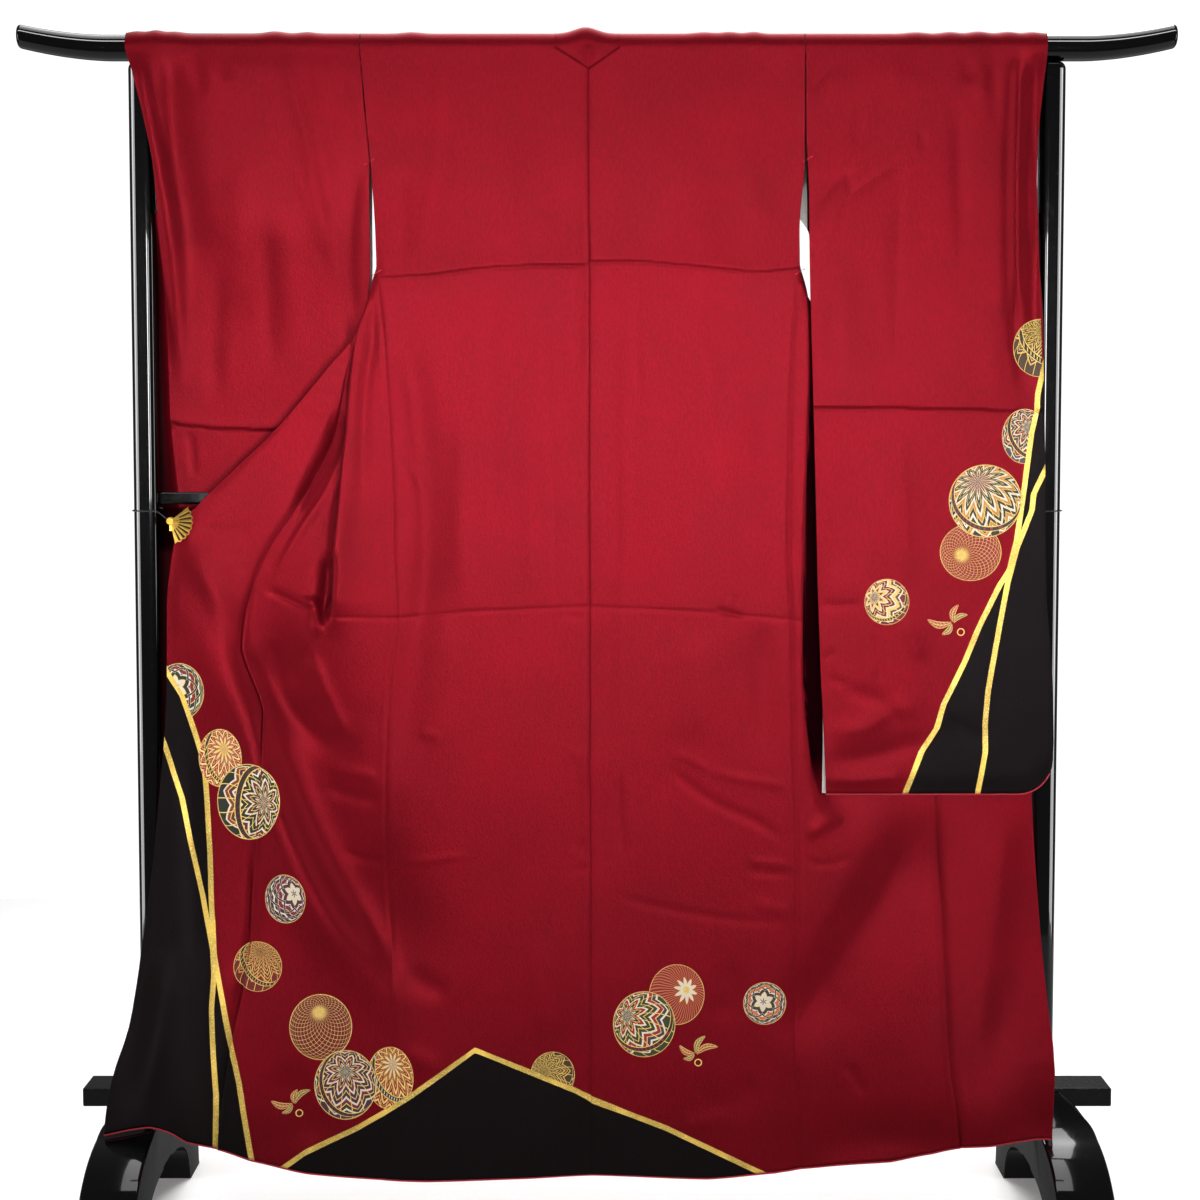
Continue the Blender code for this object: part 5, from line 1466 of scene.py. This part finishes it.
def foot_mesh(name, side):
    """An arched foot with softened edges, notched for the plank that crosses it."""
    top = [tuple(point) for point in rounded(FOOT_TOP, 6)]
    under = [tuple(point) for point in rounded(FOOT_UNDER, 6)]
    front = [(-y, z) for y, z in under[::-1]] + [(-y, z) for y, z in top[::-1]]
    notch = [(-FOOT_TOP[0][0], PLANK_LOW - JOINT_GAP), (FOOT_TOP[0][0], PLANK_LOW - JOINT_GAP)]
    outline = front + notch + top + under
    middle, half = (FOOT_INNER + FOOT_OUTER) / 2, (FOOT_OUTER - FOOT_INNER) / 2
    rounding = [(1 - (FOOT_ROUND / half) * (1 - math.sin(k * math.pi / 10)),
                 FOOT_ROUND * (1 - math.cos(k * math.pi / 10))) for k in range(6)]
    slices = [(-across, inset) for across, inset in rounding[::-1]] + rounding
    rings = []
    for across, inset in slices:
        ring = []
        for y, z in outline:
            flare = float(smooth(FOOT_FLARE_TO, FOOT_FLARE_FROM, z))
            reach = half + (FOOT_TOP_HALF - half) * flare
            centre = middle + (POST_X - middle) * flare
            outside = abs(y) > FOOT_TOP[0][0] and z > 2
            pull = 1 - (inset / math.hypot(y, z) if outside else 0)
            ring.append((side * (centre + reach * across), y * pull, z * pull if z > 2 else z))
        rings.append(ring)
    return tube_mesh(name, rings)


def block(node, low, high, bevel, finish):
    """A box with rounded edges between two corners, in the place of a part of the stand."""
    shape = bmesh.new()
    bmesh.ops.create_cube(shape, size=1.0)
    for vert in shape.verts:
        for axis in range(3):
            middle = (low[axis] + high[axis]) / 2
            vert.co[axis] = (middle + vert.co[axis] * (high[axis] - low[axis])) * MM
    piece = link(node + "_lacquer", kept(shape, bpy.data.meshes.new(node)), finish)
    made = piece.modifiers.new("Rounded edges", "BEVEL")
    made.width = bevel * MM
    made.segments = 5
    made.harden_normals = True
    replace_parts(piece, node)


def path_tree(name, sizes, kinds, finish):
    """A geometry tree along a piece's edges: its inputs, its nodes by short names, its links."""
    tree = bpy.data.node_groups.new(name, "GeometryNodeTree")
    for way in ("INPUT", "OUTPUT"):
        tree.interface.new_socket("Geometry", in_out=way, socket_type="NodeSocketGeometry")
    for label in sizes:
        tree.interface.new_socket(label, in_out="INPUT", socket_type="NodeSocketFloat")
    kinds = {"start": "NodeGroupInput", "curve": "GeometryNodeMeshToCurve", **kinds,
             "smooth": "GeometryNodeSetShadeSmooth", "real": "GeometryNodeRealizeInstances",
             "paint": "GeometryNodeSetMaterial", "end": "NodeGroupOutput"}
    nodes = {key: tree.nodes.new(kind) for key, kind in kinds.items()}
    nodes["even"].mode = "LENGTH"
    nodes["paint"].inputs["Material"].default_value = finish
    return tree, nodes


def joined(tree, nodes, links):
    """Join nodes by rows of node, output, node and input."""
    links += (("start", "Geometry", "curve", 0), ("curve", 0, "even", "Curve"),
              ("start", "Spacing", "even", "Length"), ("real", 0, "paint", 0), ("paint", 0, "end", 0))
    for source, port, target, slot in links:
        tree.links.new(nodes[source].outputs[port], nodes[target].inputs[slot])
    return tree


def cord_tree(finish):
    """Geometry nodes: a round cord along the piece's edges."""
    kinds = {"even": "GeometryNodeResampleCurve", "ring": "GeometryNodeCurvePrimitiveCircle",
             "sweep": "GeometryNodeCurveToMesh"}
    tree, nodes = path_tree("Cord along a path", ("Radius", "Spacing"), kinds, finish)
    nodes["ring"].inputs["Resolution"].default_value = 10
    nodes["sweep"].inputs["Fill Caps"].default_value = True
    return joined(tree, nodes, (
        ("start", "Radius", "ring", "Radius"), ("even", 0, "sweep", "Curve"),
        ("ring", 0, "sweep", "Profile Curve"), ("sweep", 0, "smooth", 0), ("smooth", 0, "real", 0),
    ))


def stitch_tree(finish):
    """Geometry nodes: short stitches set along the piece's edges."""
    kinds = {"even": "GeometryNodeCurveToPoints", "bead": "GeometryNodeMeshUVSphere",
             "size": "ShaderNodeCombineXYZ", "place": "GeometryNodeInstanceOnPoints"}
    tree, nodes = path_tree("Stitches along a path", ("Spacing", "Length", "Thickness"), kinds, finish)
    for label, value in (("Segments", 8), ("Rings", 6), ("Radius", 0.5)):
        nodes["bead"].inputs[label].default_value = value
    return joined(tree, nodes, (
        ("even", "Points", "place", "Points"), ("even", "Rotation", "place", "Rotation"),
        ("bead", "Mesh", "smooth", 0), ("smooth", 0, "place", "Instance"),
        ("start", "Thickness", "size", 0), ("start", "Thickness", "size", 1),
        ("start", "Length", "size", 2), ("size", 0, "place", "Scale"), ("place", 0, "real", 0),
    ))


def along_path(name, paths, tree, values):
    """Run a geometry tree along paths in millimetres and keep the result as a plain mesh."""
    mesh = bpy.data.meshes.new(name)
    points, edges = [], []
    for path in paths:
        edges += [(len(points) + k, len(points) + k + 1) for k in range(len(path) - 1)]
        points += [tuple(Vector(point) * MM) for point in path]
    mesh.from_pydata(points, edges, [])
    carrier = bpy.data.objects.new(name + "_path", mesh)
    bpy.context.collection.objects.link(carrier)
    made = carrier.modifiers.new("Along the path", "NODES")
    made.node_group = tree
    for socket in tree.interface.items_tree:
        if socket.name in values:
            made[socket.identifier] = values[socket.name]
    carrier.update_tag()
    graph = bpy.context.evaluated_depsgraph_get()
    result = bpy.data.meshes.new_from_object(carrier.evaluated_get(graph))
    carrier.modifiers.remove(made)
    bpy.data.objects.remove(carrier, do_unlink=True)
    result.name = name
    link(name, result)


def colour_setting(name, description, colour):
    """A colour in the sidebar."""
    return FloatVectorProperty(name=name, description=description, subtype="COLOR", size=3,
                               min=0, max=1, default=colour[:3])


def length_setting(name, description, default, low, high):
    """A length in the sidebar."""
    return FloatProperty(name=name, description=description, default=default, min=low, max=high,
                         subtype="DISTANCE", unit="LENGTH")


class FurisodeSettings(bpy.types.PropertyGroup):
    """Sizes and colours of the furisode."""

    silk: colour_setting("Silk", "Red of the ground", RED)
    field: colour_setting("Field", "Black-brown of the dyed fields", BLACK)
    gilt: colour_setting("Gold lines", "Gold of the lines between the fields", GOLD)
    wall: length_setting("Cloth wall", "Thickness of cloth and lining", 0.0012, 0.0008, 0.002)
    line_width: length_setting("Line width", "Width of the gold lines", 0.0078, 0.004, 0.02)
    grain: length_setting("Crepe height", "Height of the crepe weave", 0.00035, 0.0, 0.001)
    satin: FloatProperty(name="Satin", description="Share of the light that the silk throws back",
                         default=0.5, min=0.0, max=1.0, subtype="FACTOR")
    motif_lift: length_setting("Motif height", "Height of the embroidery", 0.0004, 0.0001, 0.001)
    ball_rings: IntProperty(name="Ball rings", description="Rings of points in each thread ball",
                            default=16, min=6, max=40)


class FURISODE_OT_stand(bpy.types.Operator):
    """Make the lacquered bar, posts, rails and feet"""

    bl_idname = "furisode.stand"
    bl_label = "Stand"

    def execute(self, context):
        gloss = lacquer()
        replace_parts(link("top_bar_lacquer", top_bar_mesh(), gloss), "top_bar")
        half = POST_SIDE / 2
        for word, side in SIDES:
            x = side * POST_X
            block("post_" + word, (x - half, -half, PLANK_HIGH + JOINT_GAP),
                  (x + half, half, BAR_Z - BAR_RADIUS - JOINT_GAP), POST_BEVEL, gloss)
        inner, rail = POST_INNER - JOINT_GAP, MID_RAIL_HIGH / 2
        block("rail_middle", (-inner, -rail, MID_RAIL_Z - rail), (inner, rail, MID_RAIL_Z + rail),
              RAIL_BEVEL, gloss)
        satin, matt = lacquer("satin_lacquer", 0.24, 0.2), lacquer("matt_lacquer", 0.55, 0.0)
        block("rail_lower", (-PLANK_HALF, -PLANK_DEEP / 2, PLANK_LOW),
              (PLANK_HALF, PLANK_DEEP / 2, PLANK_HIGH), PLANK_BEVEL, satin)
        for word, side in SIDES:
            name = "foot_" + word
            foot = link(name + "_lacquer", foot_mesh(name, side), gloss, matt)
            for face in foot.data.polygons:
                face.material_index = int(abs(face.normal.x) > FOOT_FLAT)
            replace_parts(foot, name)
        for piece in bpy.data.objects:
            if piece.name.endswith("_lacquer"):
                side = piece.name.split("_")[1]
                word = side if side in ("left", "right") else "top"
                bpy.data.collections["gleam_" + word].objects.link(piece)
        return {"FINISHED"}


def face_viewer(mesh, spot):
    """Turn a sheet's faces so that the one nearest to a spot in metres looks at the viewer."""
    shape = bmesh.new()
    shape.from_mesh(mesh)
    nearest = min(shape.faces, key=lambda face: (face.calc_center_median() - Vector(spot)).length)
    if nearest.normal.y > 0:
        bmesh.ops.reverse_faces(shape, faces=shape.faces)
    return kept(shape, mesh)


class FURISODE_OT_body(bpy.types.Operator):
    """Make the two body lengths and the two overlap panels"""

    bl_idname = "furisode.body"
    bl_label = "Body"

    def execute(self, context):
        finishes = silk("red_silk"), lining("lining_silk", body_lining)
        sheets = (
            (FRONT_LEFT, EDGE_LEFT, CREASES_BACK + CREASES_FRONT_LEFT),
            (FRONT_RIGHT, EDGE_RIGHT, CREASES_BACK + CREASES_FRONT_RIGHT),
        )
        for (word, side), (rows, edge, creases) in zip(SIDES, sheets):
            mesh = body_mesh("body_" + word, side, rows, creases)
            dress("body_" + word, face_viewer(mesh, (side * 0.2, -0.03, 1.2)), *finishes)
            mesh = okumi_mesh("okumi_" + word, side, rows, edge, creases)
            dress("okumi_" + word, face_viewer(mesh, (side * 0.55, -0.03, 0.6)), *finishes)
        return {"FINISHED"}


class FURISODE_OT_sleeves(bpy.types.Operator):
    """Make the two long sleeves with their pale linings"""

    bl_idname = "furisode.sleeves"
    bl_label = "Sleeves"

    def execute(self, context):
        finishes = silk("sleeve_silk"), lining("sleeve_lining", sleeve_lining)
        sheets = (
            (SLEEVE_LEFT, CREASES_SLEEVE_LEFT, TUCKS_SLEEVE_LEFT, None),
            (SLEEVE_RIGHT, CREASES_SLEEVE_RIGHT, TUCKS_SLEEVE_RIGHT, sleeve_lines),
        )
        for (word, side), sheet in zip(SIDES, sheets):
            mesh = sleeve_mesh("sleeve_" + word, side, *sheet)
            dress("sleeve_" + word, face_viewer(mesh, (side * 0.45, -0.03, 1.4)), *finishes)
        return {"FINISHED"}


class FURISODE_OT_collar(bpy.types.Operator):
    """Make the collar behind the neck and its two tails"""

    bl_idname = "furisode.collar"
    bl_label = "Collar"

    def execute(self, context):
        cloth = silk("collar_silk")
        dress("collar_neck", collar_neck_mesh(), cloth)
        for (word, side), rows, edge in zip(SIDES, (FRONT_LEFT, FRONT_RIGHT), (EDGE_LEFT, EDGE_RIGHT)):
            dress("collar_" + word, collar_tail_mesh("collar_" + word, side, rows, edge), cloth)
        return {"FINISHED"}


def add_lamps(scene):
    """The lamps, each pointed at its place."""
    for name, place, aim, size, power in LAMPS:
        data = bpy.data.lights.new(name, "AREA")
        data.shape = "RECTANGLE"
        data.size, data.size_y = size
        data.energy = power
        if name.startswith("key"):
            data.spread = KEY_SPREAD
        lamp = bpy.data.objects.new(name, data)
        lamp.location = place
        lamp.rotation_euler = (Vector(aim) - lamp.location).to_track_quat("-Z", "Y").to_euler()
        scene.collection.objects.link(lamp)
        if name.startswith("gleam"):
            lamp.light_linking.receiver_collection = bpy.data.collections.new(name)


def add_sky(scene):
    """A white sky to the camera, and a dim one to the scene."""
    world = bpy.data.worlds.new("studio")
    world.use_nodes = True
    tree = world.node_tree
    skies = [tree.nodes.new("ShaderNodeBackground"), tree.nodes["Background"]]
    ray, blend = tree.nodes.new("ShaderNodeLightPath"), tree.nodes.new("ShaderNodeMixShader")
    tree.links.new(ray.outputs["Is Camera Ray"], blend.inputs[0])
    for sky, strength, port in zip(skies, (SKY_LIT, SKY_SEEN), blend.inputs[1:]):
        sky.inputs["Color"].default_value = (1.0, 1.0, 1.0, 1.0)
        sky.inputs["Strength"].default_value = strength
        tree.links.new(sky.outputs[0], port)
    tree.links.new(blend.outputs[0], tree.nodes["World Output"].inputs["Surface"])
    scene.world = world


class FURISODE_OT_stage(bpy.types.Operator):
    """Make the floor, the lights, the sky and the camera"""

    bl_idname = "furisode.stage"
    bl_label = "Stage"

    def execute(self, context):
        scene = context.scene
        mesh = bpy.data.meshes.new("floor")
        mesh.from_pydata(FLOOR, [], [(0, 1, 2, 3)])
        mesh.materials.append(stage_finish())
        floor = bpy.data.objects.new("floor", mesh)
        scene.collection.objects.link(floor)
        add_lamps(scene)
        add_sky(scene)
        scene.view_settings.view_transform = "Standard"
        scene.view_settings.gamma = VIEW_GAMMA
        scene.view_settings.exposure = VIEW_EXPOSURE
        data = bpy.data.cameras.new("camera")
        data.lens = CAMERA_LENS
        data.sensor_width = CAMERA_SENSOR
        camera = bpy.data.objects.new("camera", data)
        camera.location = CAMERA_PLACE
        camera.rotation_euler = CAMERA_TURN
        scene.collection.objects.link(camera)
        scene.camera = camera
        return {"FINISHED"}


def clothes_tree():
    """A search tree over the dressed cloth, for laying the motifs on it."""
    graph = bpy.context.evaluated_depsgraph_get()
    points, faces = [], []
    for piece in bpy.data.objects:
        if not piece.name.endswith("_silk"):
            continue
        mesh = piece.evaluated_get(graph).to_mesh()
        start = len(points)
        points += [tuple(vert.co) for vert in mesh.vertices]
        faces += [tuple(start + k for k in face.vertices) for face in mesh.polygons]
    return BVHTree.FromPolygons(points, faces)


def laid(tree, x, z, lift):
    """The point of the nearest cloth in front of a place in millimetres, lifted off it."""
    spot, normal, _, _ = tree.ray_cast(Vector((x * MM, -0.6, z * MM)), Vector((0, 1, 0)))
    if spot is None:
        return None
    if normal.y > 0:
        normal = -normal
    return spot + normal * lift


def cut(x, z, edge):
    """Hold a place of a ball on the red side of a black field's edge."""
    if edge == "left":
        x = max(x, float(np.interp(z, *zip(*FIELD_LEFT))) + FIELD_CLEAR)
    elif edge == "sleeve":
        x = min(x, float(np.interp(z, *zip(*FIELD_SLEEVE))) - FIELD_CLEAR)
        x = min(x, float(track(SLEEVE_RIGHT, z, 2)) - 2)
    elif edge == "back":
        z = max(z, float(np.interp(x, *zip(*FIELD_BACK))) + FIELD_CLEAR)
    return x, z


def motif_piece(name, tree, places, faces, finish, lift):
    """Lay a flat motif on the cloth. Its places are (x, z, u, v, rim), and the rim sinks in."""
    points = [laid(tree, x, z, -0.0002 if rim else lift) for x, z, _, _, rim in places]
    found = [point.y for point in points if point is not None]
    typical = sum(found) / len(found)
    points = [Vector((x * MM, typical, z * MM)) if point is None else point
              for point, (x, z, *_) in zip(points, places)]
    mesh = bpy.data.meshes.new(name)
    mesh.from_pydata([tuple(point) for point in points], [], faces)
    layer = mesh.uv_layers.new(name="motif")
    for loop in mesh.loops:
        layer.data[loop.index].uv = places[loop.vertex_index][2:4]
    shape = bmesh.new()
    shape.from_mesh(mesh)
    for face in shape.faces:
        if face.normal.y > 0:
            face.normal_flip()
    link(name, kept(shape, mesh), finish)


def ball_places(middle, size, tilt, edge, rings):
    """Rings of places from a ball's middle to its rim, and once more for the sunk rim."""
    (cx, cz), (wide, high) = middle, size
    for k in range(rings + 2):
        radius = min(1.0, k / rings)
        for j in range(BALL_COLUMNS):
            turn = 2 * math.pi * j / BALL_COLUMNS
            x, z = cut(cx + wide * radius * math.cos(turn), cz + high * radius * math.sin(turn), edge)
            u, v = (x - cx) / wide, (z - cz) / high
            yield (x, z, u * math.cos(tilt) + v * math.sin(tilt),
                   v * math.cos(tilt) - u * math.sin(tilt), k == rings + 1)


def leaf_places(middle, angle, length, half):
    """Rows of places across a bowed leaf from its fork to its tip."""
    way = math.radians(angle)
    for i in range(LEAF_ROWS + 1):
        along = i / LEAF_ROWS
        bow = 0.16 * length * math.sin(math.pi * along)
        body = 0.8 * half * math.sin(math.pi * min(1.0, 0.06 + along * 0.92)) ** 0.8
        for j in range(LEAF_COLUMNS + 1):
            side = 2 * j / LEAF_COLUMNS - 1
            a, b = 1 + length * along, bow + body * side
            x = middle[0] + a * math.cos(way) - b * math.sin(way)
            z = middle[1] + a * math.sin(way) + b * math.cos(way)
            yield x, z, along, side, abs(side) == 1 or i in (0, LEAF_ROWS)


def ring_places(x, z):
    """Places round a small ring, inner and outer in turn."""
    for k in range(RING_COLUMNS):
        turn = 2 * math.pi * k / RING_COLUMNS
        for size in RING_RADII:
            yield x + size * math.cos(turn), z + size * math.sin(turn), 0.5, 1.0, False


def grid_faces(rows, columns, closed):
    """Faces between the rows of places, joined to rings where closed."""
    wide = columns if closed else columns + 1
    return [(k * wide + j, k * wide + (j + 1) % wide, (k + 1) * wide + (j + 1) % wide, (k + 1) * wide + j)
            for k in range(rows) for j in range(columns)]


class FURISODE_OT_motifs(bpy.types.Operator):
    """Lay the thread balls and the leaf sprigs on the silk"""

    bl_idname = "furisode.motifs"
    bl_label = "Motifs"

    def execute(self, context):
        look = settings()
        tree, rings = clothes_tree(), look.ball_rings
        faces = grid_faces(rings + 1, BALL_COLUMNS, True)
        for name, middle, size, tilt, pole, design, palette, edge in BALLS:
            places = list(ball_places(middle, size, tilt, edge, rings))
            lift = look.motif_lift * (NEARER_LIFT if name in NEARER else 1.0)
            finish = ball_finish(name + "_thread", pole, design, palette)
            motif_piece(name, tree, places, faces, finish, lift)
        leaf = grid_faces(LEAF_ROWS, LEAF_COLUMNS, False)
        ring = [(k, k + 1, (k + 3) % (2 * RING_COLUMNS), (k + 2) % (2 * RING_COLUMNS))
                for k in range(0, 2 * RING_COLUMNS, 2)]
        gold = leaf_finish("leaf_gold", srgb(150, 84, 52))
        olive = leaf_finish("leaf_olive", srgb(112, 104, 62))
        for name, (x, z), leaves, (ring_x, ring_z) in SPRIGS:
            places = list(ring_places(x + ring_x, z + ring_z))
            motif_piece(name + "_ring", tree, places, ring, gold, look.motif_lift)
            for number, row in enumerate(leaves):
                places = list(leaf_places((x, z), *row))
                finish = (gold, olive)[number % 2]
                motif_piece("%s_leaf_%d" % (name, number + 1), tree, places, leaf, finish, look.motif_lift)
        return {"FINISHED"}


def hem_paths():
    """Paths of the piping under the overlaps, the fronts, the back and the right sleeve."""
    paths = []
    sheets = ((FRONT_LEFT, EDGE_LEFT, CREASES_FRONT_LEFT), (FRONT_RIGHT, EDGE_RIGHT, CREASES_FRONT_RIGHT))
    for (_, side), (rows, edge, creases) in zip(SIDES, sheets):
        x, y, z = (part[-1] for part in okumi_grid(side, rows, edge, creases))
        paths.append((x, y, z - PIPING_DROP))
        stations = stations_at(side, rows, np.array([HEM_BASE]))
        x, y = section(stations, (12, 12, 12, 12))[0].T
        z = to_hem(x, HEM_BASE)
        paths.append((x, y + crease_depth(x, z, CREASES_BACK + creases), z - PIPING_DROP))
    x = np.linspace(*(float(track(BACK, HEM_BASE, k)) for k in (1, 3)), 120)
    z = to_hem(x, HEM_BASE)
    paths.append((x, crease_depth(x, z, CREASES_BACK) + BACK_HEM_DEPTH, z - PIPING_DROP))
    x = np.linspace(*(float(track(SLEEVE_RIGHT, SLEEVE_BOTTOM, k)) for k in (1, 2)), 80)
    z = sleeve_bottom(x, 1, x[-1])[:-1]
    back, drop = SLEEVE_PIPING
    paths.append((x[:-1], track(SLEEVE_RIGHT, z, 3) + back, z + drop))
    return [list(zip(*path)) for path in paths]


class FURISODE_OT_trims(bpy.types.Operator):
    """Make the piping under the hem and the sleeve, and the seams' end stitches"""

    bl_idname = "furisode.trims"
    bl_label = "Trims"

    def execute(self, context):
        piping = thread("piping_silk", srgb(150, 12, 36), srgb(176, 22, 50))
        stitching = thread("stitch_thread", srgb(150, 14, 34), srgb(196, 40, 60))
        along_path("hem_piping", hem_paths(), cord_tree(piping), PIPING)
        seams = [((x - 5, y, z - 4), (x + 5, y, z + 2)) for x, y, z in STITCHED]
        along_path("seam_stitches", seams, stitch_tree(stitching), STITCHES)
        return {"FINISHED"}


class FURISODE_OT_clips(bpy.types.Operator):
    """Dress the two clips and the cords round the posts"""

    bl_idname = "furisode.clips"
    bl_label = "Clips"

    def execute(self, context):
        gilt, cord = gilt_metal(), thread("dark_cord", srgb(24, 22, 30), srgb(60, 56, 66))
        dressed = {"clip_fan": gilt, "clip_plain": gilt, "cord_left": cord, "cord_right": cord}
        for node, finish in dressed.items():
            materials = frame["nodes"][node].data.materials
            materials.clear()
            materials.append(finish)
        return {"FINISHED"}


class FURISODE_OT_declare(bpy.types.Operator):
    """An empty step: it states no cut sizes and nothing that a sheet hangs from"""

    bl_idname = "furisode.declare"
    bl_label = "Cut sizes"

    def execute(self, context):
        return {"FINISHED"}


OPERATORS = (
    FURISODE_OT_stage, FURISODE_OT_stand, FURISODE_OT_body, FURISODE_OT_sleeves,
    FURISODE_OT_collar, FURISODE_OT_clips, FURISODE_OT_trims, FURISODE_OT_motifs,
    FURISODE_OT_declare,
)


class FURISODE_PT_panel(bpy.types.Panel):
    """Sidebar panel with the settings and every step"""

    bl_label = "Furisode"
    bl_idname = "FURISODE_PT_panel"
    bl_space_type = "VIEW_3D"
    bl_region_type = "UI"
    bl_category = "Furisode"

    def draw(self, context):
        for name in FurisodeSettings.__annotations__:
            self.layout.prop(context.scene.furisode, name)
        for step in OPERATORS:
            self.layout.operator(step.bl_idname)


def register():
    for kind in (FurisodeSettings, *OPERATORS, FURISODE_PT_panel):
        bpy.utils.register_class(kind)
    bpy.types.Scene.furisode = PointerProperty(type=FurisodeSettings)


def unregister():
    del bpy.types.Scene.furisode
    for kind in (FURISODE_PT_panel, *OPERATORS[::-1], FurisodeSettings):
        bpy.utils.unregister_class(kind)


def main():
    register()
    for step in OPERATORS:
        group, name = step.bl_idname.split(".")
        getattr(getattr(bpy.ops, group), name)()
    bpy.context.view_layer.update()


if __name__ == "__main__":
    main()
